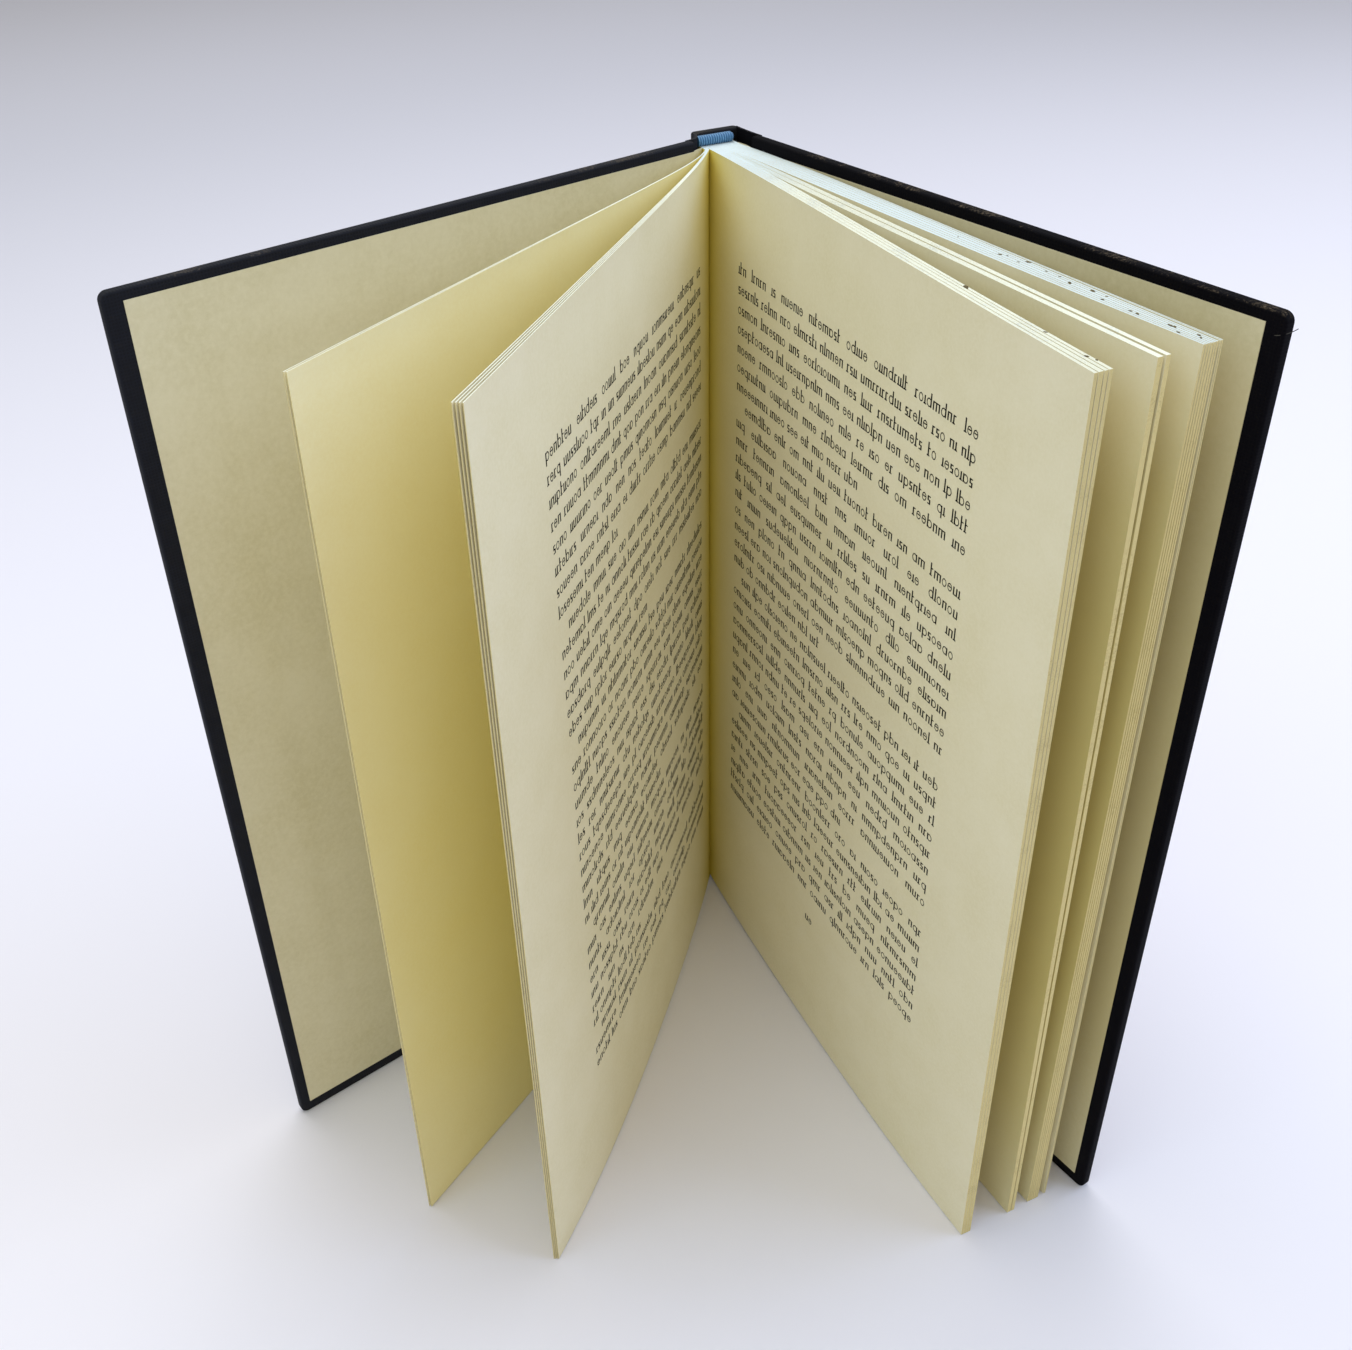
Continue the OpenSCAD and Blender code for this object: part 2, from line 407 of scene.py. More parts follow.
@dataclass(frozen=True)
class GauzeLining(Finish):
    """Stiffened cotton gauze glued to the back of the leaves: open threads over dried glue."""

    colour: str
    glue_colour: str
    mesh: float = 1.2
    thread_depth: float = 0.1
    roughness: float = 0.85

    def dress(self, tree: NodeTree, shader: Node) -> None:
        """Cross pale threads over the glue.

        Args:
            tree: Node tree of the material.
            shader: Its principled shader.
        """
        coords = add_node(tree, "TexCoord", out="Object")
        threads = self.crossed(tree, {
            "Vector": coords, "Scale": bands_per_metre(self.mesh), "Distortion": 0.6})
        self.paint(shader, self.glue_colour, (threads, self.colour))
        bump = add_node(tree, "Bump", {"Height": threads, "Distance": self.thread_depth * MM})
        plug(shader, {"Roughness": self.roughness, "Normal": bump})


@dataclass(frozen=True)
class SpeckledFilm(Finish):
    """Thin dark film on paper, such as ink or dried dirt: matt and a little uneven in strength."""

    colour: str
    thin_colour: str
    grain: float = 1.0
    roughness: float = 0.9

    def dress(self, tree: NodeTree, shader: Node) -> None:
        """Thin the film out in small patches.

        Args:
            tree: Node tree of the material.
            shader: Its principled shader.
        """
        coords = add_node(tree, "TexCoord", out="Object")
        patches = add_node(tree, "TexNoise", {
            "Vector": coords, "Scale": per_metre(self.grain), "Detail": 3.0})
        self.paint(shader, self.colour, (patches, self.thin_colour))
        plug(shader, {"Roughness": self.roughness, "Specular IOR Level": 0.2})


@dataclass(frozen=True)
class StudioSweep(Finish):
    """Pale studio paper, with painted shade that greys it away from the book."""

    colour: str
    far_colour: str
    near: float
    far: float
    tooth: float = 3.0
    tooth_depth: float = 0.01
    roughness: float = 0.95

    def dress(self, tree: NodeTree, shader: Node) -> None:
        """Lay painted shade on the paper, which grows with the distance from the book.

        Args:
            tree: Node tree of the material.
            shader: Its principled shader.
        """
        coords = add_node(tree, "TexCoord", out="Object")
        depth = add_node(tree, "SeparateXYZ", {"Vector": coords}, out="Y")
        # Painted shade, from none near the book to full far behind it.
        shade_by_distance = add_node(tree, "MapRange", {
            "Value": depth, "From Min": self.near * MM, "From Max": self.far * MM,
        }, interpolation_type="SMOOTHSTEP")
        self.paint(shader, self.colour, (shade_by_distance, self.far_colour))
        tooth = add_node(tree, "TexNoise", {"Vector": coords, "Scale": per_metre(self.tooth)})
        bump = add_node(tree, "Bump", {"Height": tooth, "Distance": self.tooth_depth * MM})
        plug(shader, {"Roughness": self.roughness, "Normal": bump, "Specular IOR Level": 0.1})


# Cream text paper of the leaves, with painted yellow shade down in the gutters and painted shade between the
# bundles.
TEXT_PAPER = BookPaper(
    "cream text paper", colour="#f0e8ca", cloud_colour="#e9e0bd", gutter_colour="#e6d455",
    gap_colour="#d3c27b")
# Fly-leaf in front of the text, of the same paper but painted brighter and yellower, as painted light.
FLY_LEAF = BookPaper(
    "yellowed fly-leaf paper", colour="#f9f3d4", cloud_colour="#f4ebc6", gutter_colour="#f9e45e",
    gap_colour="#f9e56c")
# Stouter endpaper of a khaki cast, pasted to the boards, which makes its clouds plainer; its gap and gutter
# colours are painted shade.
ENDPAPER = BookPaper(
    "khaki endpaper", colour="#e5ddbd", cloud_colour="#d9d0ab", gutter_colour="#c6b67c",
    gap_colour="#c6b67c", cloud=22.0, fibre=1.1)
# Cut head and tail of the leaves, painted whiter and bluer than their faces as painted cool light from
# above; on thin bundles the cream comes through.
HEAD_EDGE = TrimmedEdge(
    "trimmed head edge", colour="#d7e2e1", soil_colour="#cdd3ce", ivory_colour="#eff0dc")
# Cut fore-edge of the leaves, browner than their faces and than the head edge with its painted light.
FORE_EDGE = TrimmedEdge(
    "trimmed fore-edge", colour="#dccc92", soil_colour="#c2b27c", ivory_colour="#dccc92")
# Blue cotton of the two headbands, with a painted highlight along each thread.
BLUE_BAND = BandWeave("blue woven headband cotton", colour="#2a5f8c", light_colour="#6b9fc4")
# Dull grey board inside the covers and the spine.
BOARD = GreyBoard("grey pulp board", colour="#8a877e", fleck_colour="#a5a197")
# Lining on the back of the leaves: pale threads over brown glue.
LINING = GauzeLining("glued cotton gauze", colour="#ddd6c4", glue_colour="#b8ab8c")
# Printing ink, more brown than black where it is thin.
INK = SpeckledFilm("black printing ink", colour="#100d0a", thin_colour="#221d17")
# Loose cotton hair caught at a corner of the back cover, dark against the pale room.
LINT = SpeckledFilm("grey cotton lint", colour="#3a3835", thin_colour="#55524c")
# Dried specks of dirt and foxing on the head of the leaves, brown and dull.
DIRT = SpeckledFilm("dried brown dirt", colour="#3d3524", thin_colour="#7d7050", grain=0.4)


def box_mm(node: str) -> tuple[Vector, Vector]:
    """Lowest and highest corner of a CAD node, in millimetres."""
    low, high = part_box(node)
    return low / MM, high / MM


def hinge_at(joint: str) -> Vector:
    """Plan position of a cover's hinge, in millimetres."""
    place = next(row["pos_m"] for row in frame["joints"] if row["name"] == joint)
    return Vector(place[:2]) / MM


def make_piece(name: str, bm: BMesh, finishes: Sequence[Finish]) -> Object:
    """Turn a mesh in millimetres into an object at the origin, in metres.

    Args:
        name: Name of the piece.
        bm: Its mesh, which is freed.
        finishes: Finishes for the material numbers of its faces.

    Returns:
        The new object.
    """
    bmesh.ops.scale(bm, vec=Vector((MM, MM, MM)), verts=bm.verts[:])
    for face in bm.faces:
        face.smooth = True
    for edge in bm.edges:
        edge.smooth = edge.calc_face_angle(0.0) < SMOOTH_BELOW
    mesh = bpy.data.meshes.new(name)
    bm.to_mesh(mesh)
    bm.free()
    for finish in finishes:
        mesh.materials.append(finish.material())
    piece = bpy.data.objects.new(name, mesh)
    bpy.context.collection.objects.link(piece)
    return piece


def bend_slab(
    bm: BMesh, columns: int, rows: int, place: Callable[[float, float, float], Vector]
) -> list[BMVert]:
    """Add a flat sheet with thickness, lay each of its points in place and turn its faces outwards.

    Args:
        bm: Mesh that takes the sheet.
        columns: Number of faces along the sheet.
        rows: Number of faces up the sheet.
        place: Gives a point from its share along, its share up and its layer, which is 0 or 1.

    Returns:
        The points of the sheet.
    """
    verts = bmesh.ops.create_grid(bm, x_segments=columns, y_segments=rows, size=0.5)["verts"]
    faces = list({face for vert in verts for face in vert.link_faces})
    made = bmesh.ops.extrude_face_region(bm, geom=faces)["geom"]
    raised = [part for part in made if isinstance(part, BMVert)]
    bmesh.ops.translate(bm, vec=Vector((0, 0, 1)), verts=raised)
    sheet = verts + raised
    for vert in sheet:
        vert.co = place(vert.co.x + 0.5, vert.co.y + 0.5, vert.co.z)
    bmesh.ops.recalc_face_normals(bm, faces=list({face for vert in sheet for face in vert.link_faces}))
    return sheet


def add_block(bm: BMesh, low: Vector, high: Vector) -> list[BMVert]:
    """Add an upright block between two corners.

    Args:
        bm: Mesh that takes the block.
        low: Its lowest corner.
        high: Its highest corner.

    Returns:
        The points of the block.
    """
    place = Matrix.Translation((low + high) / 2) @ Matrix.Diagonal((high - low).to_4d())
    place[3][3] = 1.0
    return bmesh.ops.create_cube(bm, size=1.0, matrix=place)["verts"]


def add_part(bm: BMesh, part: BMesh) -> None:
    """Move a small mesh into a larger one, as operators are quick on a small one.

    Args:
        bm: Mesh that takes the part.
        part: The part, which is freed.
    """
    mesh = bpy.data.meshes.new("part")
    part.to_mesh(mesh)
    part.free()
    bm.from_mesh(mesh)
    bpy.data.meshes.remove(mesh)


def cut_across(bm: BMesh, way: Vector, level: float) -> None:
    """Cut the faces of a mesh at a level along a direction, and keep both sides."""
    bmesh.ops.bisect_plane(
        bm, geom=bm.verts[:] + bm.edges[:] + bm.faces[:], plane_co=way * level, plane_no=way)


def round_edges(bm: BMesh, edges: list[BMEdge], radius: float, segments: int) -> None:
    """Round edges of a mesh to a radius."""
    bmesh.ops.bevel(
        bm, geom=edges, offset=radius, offset_type="OFFSET", segments=segments, profile=0.5,
        affect="EDGES", material=-1)


def quadratic(start: Vector, control: Vector, end: Vector, share: float) -> Vector:
    """Point of a curve that leaves start towards control and ends at end."""
    return start.lerp(control, share).lerp(control.lerp(end, share), share)


def smooth_step(value: float) -> float:
    """Ease a share from 0 to 1."""
    held = min(1.0, max(0.0, value))
    return held * held * (3 - 2 * held)


def gap_shade(depth: float, height: float, run: float) -> float:
    """Share of painted shade in a gap between sheets.

    Args:
        depth: Depth below the head of the sheets.
        height: Height above the floor.
        run: Depth over which the shade sets in.

    Returns:
        The share, from 0 to 1.
    """
    eased = SHADE_EASED * smooth_step((SHADE_FOOT - height) / SHADE_FOOT)
    return (1 - math.exp(-max(0.0, depth) / run)) * (1 - eased)


@dataclass(frozen=True)
class Makeup:
    """Thicknesses that the covers, the spine and the joints share."""

    cloth: float = 0.3
    board: float = 1.75
    turn_in: float = 15.0
    endpaper: float = 0.15

    @property
    def wrapped(self) -> float:
        """Thickness of a board with cloth on both sides."""
        return self.board + 2 * self.cloth


class Side(Enum):
    """The two covers, with the way that leads inwards on each."""

    FRONT = 1
    BACK = -1

    @property
    def word(self) -> str:
        """Name of the side in the names of its pieces."""
        return self.name.lower()

    @property
    def body(self) -> str:
        """CAD body that the side's cover is."""
        return f"{self.word}_cover"


@dataclass
class Cover:
    """A cover: grey board wrapped in book cloth, with a pastedown on its inner side."""

    side: Side
    open_deg: float
    dust: float
    colour: str
    thread_colour: str
    gloss: float = 0.2
    makeup: Makeup = field(default_factory=Makeup)
    width: float = 129.5
    joint_w: float = 2.2
    corner_r: float = 1.7
    edge_r: float = 0.5
    inset_fore: float = 3.0
    inset_head: float = 1.9
    inset_tail: float = 3.2
    sink: float = 0.22
    sink_run: float = 2.0
    # By how much the pastedown is lower at the spine, and longer at its foot than at its head.
    askew: float = 0.0
    lean: float = 0.0
    # Painted shade on the pastedown, and the depth below the head over which it sets in.
    shade: float = 0.0
    shade_run: float = 20.0
    columns: int = 62
    rows: int = 102
    height: float = field(init=False)
    fold: Vector = field(init=False)

    def __post_init__(self) -> None:
        """Take the cover's height and the fold that it turns about from the CAD frame."""
        self.height = box_mm(f"{self.side.word}_cloth")[1].z
        self.fold = hinge_at(f"{self.side.word}_cover_hinge")

    @property
    def turn(self) -> float:
        """Direction of the cover in plan, in radians from +X."""
        return math.radians(-90 - self.side.value * self.open_deg)

    @property
    def finish(self) -> BookCloth:
        """Black book cloth, laid along this cover."""
        return BookCloth(
            f"black book cloth, {self.side.word} cover", colour=self.colour,
            thread_colour=self.thread_colour, turn=self.turn, dust=self.dust, gloss=self.gloss)

    @property
    def in_frame(self) -> Matrix:
        """Matrix from the cover's own place to the frame."""
        return Matrix.Translation(self.fold.to_3d()) @ Matrix.Rotation(self.turn, 4, "Z")

    def point(self, along: float, depth: float, up: float = 0.0) -> Vector:
        """Point of the cover in the frame.

        Args:
            along: Distance from the fold towards the fore-edge.
            depth: Distance inwards from the middle of the outer cloth.
            up: Height above the foot.

        Returns:
            The point in millimetres.
        """
        return self.in_frame @ Vector((along, self.side.value * depth, up))

    def build(self) -> Iterator[Object]:
        """Make the cloth and the pastedown, one after the other."""
        yield self.build_cloth()
        yield self.build_pastedown()

    def build_cloth(self) -> Object:
        """Wrap the board in cloth with round edges, turned in round three sides.

        Returns:
            The cloth of the cover.
        """
        skin = self.makeup.cloth
        ends = sorted((-self.side.value * skin / 2, self.side.value * (self.makeup.wrapped - skin / 2)))
        bm = bmesh.new()
        add_block(bm, Vector((self.joint_w, ends[0], 0)), Vector((self.width, ends[1], self.height)))
        corners = [e for e in bm.edges if all(v.co.x > self.width - NEAR for v in e.verts)
                   and abs(e.verts[0].co.z - e.verts[1].co.z) < NEAR]
        round_edges(bm, corners, self.corner_r, CORNER_FACES)
        rim = [e for e in bm.edges if abs(e.verts[0].co.y - e.verts[1].co.y) < NEAR
               and e.calc_face_angle(0.0) > SHARP and any(v.co.x > self.joint_w + NEAR for v in e.verts)]
        round_edges(bm, rim, self.edge_r, EDGE_FACES)
        self._open_window(bm)
        bmesh.ops.solidify(bm, geom=bm.faces[:], thickness=skin)
        bmesh.ops.transform(bm, matrix=self.in_frame, verts=bm.verts[:])
        piece = make_piece(f"{self.side.word}_cover_cloth", bm, [self.finish])
        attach(piece, self.side.body)
        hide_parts(f"{self.side.word}_cloth")
        return piece

    def _open_window(self, bm: BMesh) -> None:
        """Take away the inner face that the turned-in cloth leaves bare.

        Args:
            bm: Closed skin of the cover, in the cover's own place.
        """
        reach = self.width - self.makeup.turn_in
        low, high = self.makeup.turn_in, self.height - self.makeup.turn_in
        for way, level in ((UPWARD, low), (UPWARD, high), (ACROSS, reach)):
            cut_across(bm, way, level)
        bare = []
        for face in bm.faces:
            centre = face.calc_center_median()
            inner = face.normal.y * self.side.value > FACING and centre.x < reach
            spine_side = face.normal.x < -FACING
            if (inner or spine_side) and low < centre.z < high:
                bare.append(face)
        bmesh.ops.delete(bm, geom=bare, context="FACES")

    def build_pastedown(self) -> Object:
        """Paste a sheet on the turned-in cloth and on the board between, with the step showing softly.

        Returns:
            The pastedown.
        """
        length = self.width - self.inset_fore - self.joint_w
        rise = self.height - self.inset_tail - self.inset_head
        seat = self.makeup.wrapped - self.makeup.cloth / 2

        def place(share: float, up: float, layer: float) -> Vector:
            """Lay one point of the sheet.

            Args:
                share: Share of the sheet's length.
                up: Share of its height.
                layer: 0 on its pasted side and 1 on its open side.

            Returns:
                The point in millimetres.
            """
            along = self.joint_w + share * (length - self.lean * (up - 0.5))
            height = self.inset_tail + up * (rise - self.askew * (1 - share))
            rim = min(self.width - along, height, self.height - height)
            inside = rim - self.makeup.turn_in
            depth = seat - self.sink * smooth_step(inside / self.sink_run) + layer * self.makeup.endpaper
            return self.point(along, depth, height)

        bm = bmesh.new()
        toned = bm.verts.layers.float_vector.new(PAINTED_LIGHT_AND_SHADE)
        # Each point carries its share of painted shade, which deepens below the head.
        for vert in bend_slab(bm, self.columns, self.rows, place):
            gap = self.shade * gap_shade(self.height - vert.co.z, vert.co.z, self.shade_run)
            vert[toned] = Vector((0, gap, 0))
        piece = make_piece(f"{self.side.word}_pastedown_paper", bm, [ENDPAPER])
        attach(piece, self.side.body)
        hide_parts(f"{self.side.word}_pastedown")
        return piece


@dataclass
class Spine:
    """The spine: a narrow board wrapped in book cloth, with round outer edges."""

    makeup: Makeup = field(default_factory=Makeup)
    edge_r: float = 0.9
    end_r: float = 0.5
    front_ease: float = 1.0
    colour: str = "#0a0a0e"
    thread_colour: str = "#17181f"
    dust: float = 0.35
    half_width: float = field(init=False)
    height: float = field(init=False)

    def __post_init__(self) -> None:
        """Take the spine's half width and its height from the CAD board inside it."""
        corner = box_mm("spine_strip")[1]
        self.half_width = corner.x + self.makeup.cloth
        self.height = corner.z + self.makeup.cloth

    def edge(self, side: Side) -> float:
        """Place of the spine's outer edge on one side; the cloth stands off a little in front."""
        return self.half_width if side is Side.BACK else -self.half_width - self.front_ease

    @property
    def finish(self) -> BookCloth:
        """Black book cloth, laid across the spine."""
        return BookCloth(
            "black book cloth, spine", colour=self.colour, thread_colour=self.thread_colour, turn=0.0,
            dust=self.dust)

    def build(self) -> Object:
        """Wrap the spine's board in cloth, turned in at head and tail.

        Returns:
            The cloth of the spine.
        """
        depth = self.makeup.wrapped
        low, high = self.makeup.turn_in, self.height - self.makeup.turn_in
        bm = bmesh.new()
        left, right = self.edge(Side.FRONT), self.edge(Side.BACK)
        add_block(bm, Vector((left, -depth, 0)), Vector((right, 0, self.height)))
        outer = [e for e in bm.edges if all(v.co.y > -NEAR for v in e.verts)
                 and abs(e.verts[0].co.x - e.verts[1].co.x) < NEAR]
        round_edges(bm, outer, self.edge_r, CORNER_FACES)
        ends = [e for e in bm.edges if abs(e.verts[0].co.z - e.verts[1].co.z) < NEAR
                and e.calc_face_angle(0.0) > SHARP]
        round_edges(bm, ends, self.end_r, EDGE_FACES)
        for level in (low, high):
            cut_across(bm, UPWARD, level)
        bare = [f for f in bm.faces if f.normal.y < -FACING and low < f.calc_center_median().z < high]
        bmesh.ops.delete(bm, geom=bare, context="FACES")
        bmesh.ops.solidify(bm, geom=bm.faces[:], thickness=self.makeup.cloth)
        piece = make_piece("spine_wrap", bm, [self.finish])
        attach(piece, "block")
        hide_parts("spine_cloth")
        return piece


@dataclass
class CoverJoint:
    """The joint beside the spine, where cloth and endpaper cross a cover's fold."""

    cover: Cover
    spine: Spine
    root: Vector
    leaf_low: float
    leaf_high: float
    corner: float = 1.4
    overlap: float = 0.5
    knee_steps: int = 4
    fold_steps: int = 8
    rows: int = 8
    paper_pull: float = 0.35
    paper_steps: int = 12
    paper_rows: int = 16

    @property
    def makeup(self) -> Makeup:
        """Thicknesses of the cloth and the paper."""
        return self.cover.makeup

    def cloth_path(self) -> list[Vector]:
        """Plan line of the outer cloth from the spine's edge over the fold to the board.

        Returns:
            Points along the line.
        """
        side = self.cover.side
        edge = self.spine.edge(side) + side.value * self.makeup.cloth / 2
        start = Vector((edge, -self.makeup.wrapped / 2))
        knee = Vector((edge, -self.makeup.wrapped))
        fold = self.cover.fold
        end = self.cover.point(self.cover.joint_w + self.overlap, 0.0).to_2d()
        before = fold + (knee - fold).normalized() * self.corner
        after = fold + (end - fold).normalized() * self.corner
        halfway = knee.lerp(before, 0.5)
        path = [quadratic(start, knee, halfway, i / self.knee_steps) for i in range(self.knee_steps)]
        path += [halfway, before]
        path += [quadratic(before, fold, after, i / self.fold_steps) for i in range(1, self.fold_steps + 1)]
        return path + [end]

    def on_path(self, path: list[Vector], share: float, lift: float) -> Vector:
        """Point beside a plan line.

        Args:
            path: Points of the line.
            share: Share of the line's points that lie before the point.
            lift: Distance from the line towards the leaves.

        Returns:
            The plan point.
        """
        spot = share * (len(path) - 1)
        i = min(int(spot + NEAR), len(path) - 2)
        ahead = path[min(i + 1, len(path) - 1)] - path[max(i - 1, 0)]
        side = Vector((-ahead.y, ahead.x)).normalized() * self.cover.side.value
        return path[i].lerp(path[i + 1], spot - i) + side * lift

    def build(self) -> Iterator[Object]:
        """Make the joint's cloth and its strip of endpaper, one after the other."""
        yield self.build_cloth()
        yield self.build_endpaper()

    def build_cloth(self) -> Object:
        """Run the cloth over the fold, with a second layer where it is turned in at head and tail.

        Returns:
            The cloth of the joint.
        """
        path = self.cloth_path()
        skin = self.makeup.cloth
        layers = [(0.0, self.cover.height, -skin / 2), (0.0, self.makeup.turn_in, skin / 2),
                  (self.cover.height - self.makeup.turn_in, self.cover.height, skin / 2)]
        bm = bmesh.new()
        for low, high, start in layers:
            bend_slab(bm, len(path) - 1, self.rows, lambda share, up, layer: self.on_path(
                path, share, start + layer * skin).to_3d() + UPWARD * (low + up * (high - low)))
        piece = make_piece(f"{self.cover.side.word}_joint_cloth", bm, [self.cover.finish])
        self._bend(piece, path[self.knee_steps + 1], path[-1])
        return piece

    def build_endpaper(self) -> Object:
        """Hang the endpaper from the nearest leaf's root across the joint to the pastedown.

        Returns:
            The strip of endpaper.
        """
        cover, paper = self.cover, self.makeup.endpaper
        seat = self.makeup.wrapped - self.makeup.cloth / 2 + paper / 2
        end = cover.point(cover.joint_w + self.overlap, seat - paper / 4).to_2d()
        control = self.root.lerp(end, 0.5).lerp(cover.fold, self.paper_pull)
        steps = self.paper_steps
        path = [quadratic(self.root, control, end, i / steps) for i in range(steps + 1)]

        def place(share: float, up: float, layer: float) -> Vector:
            """Lay one point of the strip.

            Args:
                share: Share of the way from the leaves to the pastedown.
                up: Share of the strip's height.
                layer: 0 and 1 on its two sides.

            Returns:
                The point in millimetres.
            """
            low = self.leaf_low + share * (cover.inset_tail - self.leaf_low)
            high = self.leaf_high + share * (cover.height - cover.inset_head - cover.askew - self.leaf_high)
            flat = self.on_path(path, share, (layer - 0.5) * paper)
            return flat.to_3d() + UPWARD * (low + up * (high - low))

        bm = bmesh.new()
        bend_slab(bm, len(path) - 1, self.paper_rows, place)
        piece = make_piece(f"{cover.side.word}_joint_endpaper", bm, [ENDPAPER])
        self._bend(piece, self.root, end)
        return piece

    def _bend(self, piece: Object, start: Vector, end: Vector) -> None:
        """Bake the piece's place into its mesh."""
        self.cover.side.body
        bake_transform(piece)


@dataclass(frozen=True)
class Sweep:
    """Heading of a leaf in plan along its free length, in degrees from straight out of the spine."""

    # Heading of the plain run, what the gutter adds, how far that reaches, and what the tip adds.
    run: float
    bend: float
    over: float
    curl: float

    def heading(self, distance: float, reach: float) -> float:
        """Heading at a distance from the glued back.

        Args:
            distance: Distance along the leaf.
            reach: Free length of the leaf.

        Returns:
            The heading in degrees, negative towards the front cover.
        """
        at_gutter = self.bend * math.exp(-distance / self.over)
        return self.run + at_gutter + self.curl * (distance / reach) ** 3


@dataclass(frozen=True)
class Bundle:
    """Leaves that hang together, with the sweep of the first and the last, and of the first one's foot."""

    leaves: int
    first: Sweep
    last: Sweep
    foot: Sweep
    foot_fan: float = 1.0
    # Distance from the spine over which the cut head stays white.
    white_head: float = 0.0
    # Painted shade beside the leaves and beside the last one, what of it lies at the very head, what of it
    # is lost at the tips, and the depth over which it sets in.
    shade: float = 0.0
    shade_end: float = 0.0
    shade_rim: float = 0.35
    shade_fade: float = 0.5
    shade_run: float = 17.0
    # Whether the leaves take the fly-leaf paper, which carries painted light.
    fly_leaf: bool = False
    cockle: float = 0.0
    # Leaves that a slit opens before, how many plain gaps it is wide, and the width of the fore-edge.
    slits: tuple[int, ...] = ()
    slit: float = 2.5
    width: float = 1.0

    def nudge(self, number: int, reach: float) -> float:
        """Turn of a leaf away from its even place, so that slits open in the fore-edge.

        Args:
            number: Number of the leaf in the bundle, from 0.
            reach: Free length of the leaf.

        Returns:
            The turn in degrees.
        """
        steps = [self.slit if i in self.slits else 1.0 for i in range(1, self.leaves)]
        wanted = sum(steps[:number]) / sum(steps)
        return math.degrees((wanted - number / (self.leaves - 1)) * self.width / reach)


@dataclass(frozen=True)
class LeafSize:
    """Sizes that all leaves share."""

    back_y: float
    glue: float
    reach: float
    thick: float
    head_at_spine: float
    head_at_tip: float
    height: float
    gutter: float = 9.0
    ivory_run: float = 25.0
    cockle_run: float = 85.0
    cockle_along: float = 45.0
    cockle_up: float = 60.0
    steps: int = 64

    @property
    def root_y(self) -> float:
        """Place across the spine where the leaves come free of the glue."""
        return self.back_y - self.glue

    def low(self, distance: float) -> float:
        """Height of the tail of a leaf at a distance from the glued back."""
        share = max(0.0, distance) / self.reach
        return self.head_at_spine + share * (self.head_at_tip - self.head_at_spine) - self.height

    def high(self, distance: float) -> float:
        """Height of the head of a leaf at a distance from the glued back."""
        return self.low(distance) + self.height


class Leaf:
    """One leaf: a sheet ruled between its plan line at the head and its plan line at the tail."""

    def __init__(self, size: LeafSize, root_x: float, bundle: Bundle, number: int, seed: float) -> None:
        """Lay the leaf's two plan lines out.

        Args:
            size: Sizes that all leaves share.
            root_x: Place of the leaf along the glued back.
            bundle: Bundle that the leaf hangs in.
            number: Number of the leaf in the bundle, from 0.
            seed: Number that sets the bundle's cockling apart.
        """
        self.size = size
        self.bundle = bundle
        self.share = share = number / (bundle.leaves - 1)
        self.seed = seed
        self.root = Vector((root_x, size.root_y))
        nudge = bundle.nudge(number, size.reach)

        def at_head(distance: float) -> float:
            """Heading of the head edge."""
            first = bundle.first.heading(distance, size.reach)
            return first + share * (bundle.last.heading(distance, size.reach) - first) + nudge

        def at_foot(distance: float) -> float:
            """Heading of the tail edge."""
            fan = at_head(distance) - bundle.first.heading(distance, size.reach)
            return bundle.foot.heading(distance, size.reach) + bundle.foot_fan * fan

        self.head = self._plan(at_head)
        self.foot = self._plan(at_foot)

    def _plan(self, heading: Callable[[float], float]) -> list[Vector]:
        """Walk along a leaf in short steps.

        Args:
            heading: Gives the heading in degrees at a distance.

        Returns:
            Plan points from the root to the fore-edge.
        """
        step = self.size.reach / self.size.steps
        points = [self.root.copy()]
        for i in range(self.size.steps):
            angle = math.radians(heading((i + 0.5) * step))
            points.append(points[-1] + step * Vector((math.sin(angle), -math.cos(angle))))
        return points

    def _on(self, line: list[Vector], distance: float) -> Vector:
        """Plan point on one of the leaf's lines, or in the glued back before it.

        Args:
            line: Plan points of the line.
            distance: Distance along it.

        Returns:
            The plan point.
        """
        if distance <= 0:
            return self.root - Vector((0, distance))
        spot = min(distance / self.size.reach, 1.0) * self.size.steps
        i = min(int(spot), self.size.steps - 1)
        return line[i].lerp(line[i + 1], spot - i)

    def plan(self, distance: float, up: float) -> Vector:
        """Plan point of the leaf's middle at a distance along it and a share of its height."""
        return self._on(self.foot, distance).lerp(self._on(self.head, distance), up)

    def at(self, distance: float, up: float, lift: float) -> Vector:
        """Point on or beside the leaf.

        Args:
            distance: Distance from the glued back towards the fore-edge.
            up: Share of the leaf's height.
            lift: Distance from the middle of the leaf towards the back cover.

        Returns:
            The point in millimetres.
        """
        ahead = self.plan(distance + 1.0, up) - self.plan(distance - 1.0, up)
        across = Vector((-ahead.y, ahead.x)).normalized()
        height = self.size.low(distance) + up * self.size.height
        size = self.size
        wave = noise.noise(Vector((distance / size.cockle_along, height / size.cockle_up, self.seed)))
        ripple = self.bundle.cockle * wave * smooth_step(distance / size.cockle_run)
        flat = self.plan(distance, up) + across * (lift + ripple)
        return Vector((flat.x, flat.y, height))

    def toned(self, point: Vector) -> Vector:
        """Shares of painted yellow shade in the gutter, of painted shade in the gap beside the leaf and of
        ivory on its cut head.

        Args:
            point: A point of the leaf.

        Returns:
            The three shares, each from 0 to 1.
        """
        size, bundle = self.size, self.bundle
        distance = (point.to_2d() - self.root).length
        depth = size.high(distance) - point.z
        sunk = bundle.shade_rim + (1 - bundle.shade_rim) * gap_shade(depth, point.z, bundle.shade_run)
        shade_by_distance = 1 - bundle.shade_fade * (distance / size.reach) ** 2
        gap = (bundle.shade if self.share < 1 else bundle.shade_end) * sunk * shade_by_distance
        ivory = smooth_step((distance - bundle.white_head) / size.ivory_run)
        return Vector((math.exp(-distance / size.gutter), gap, ivory))


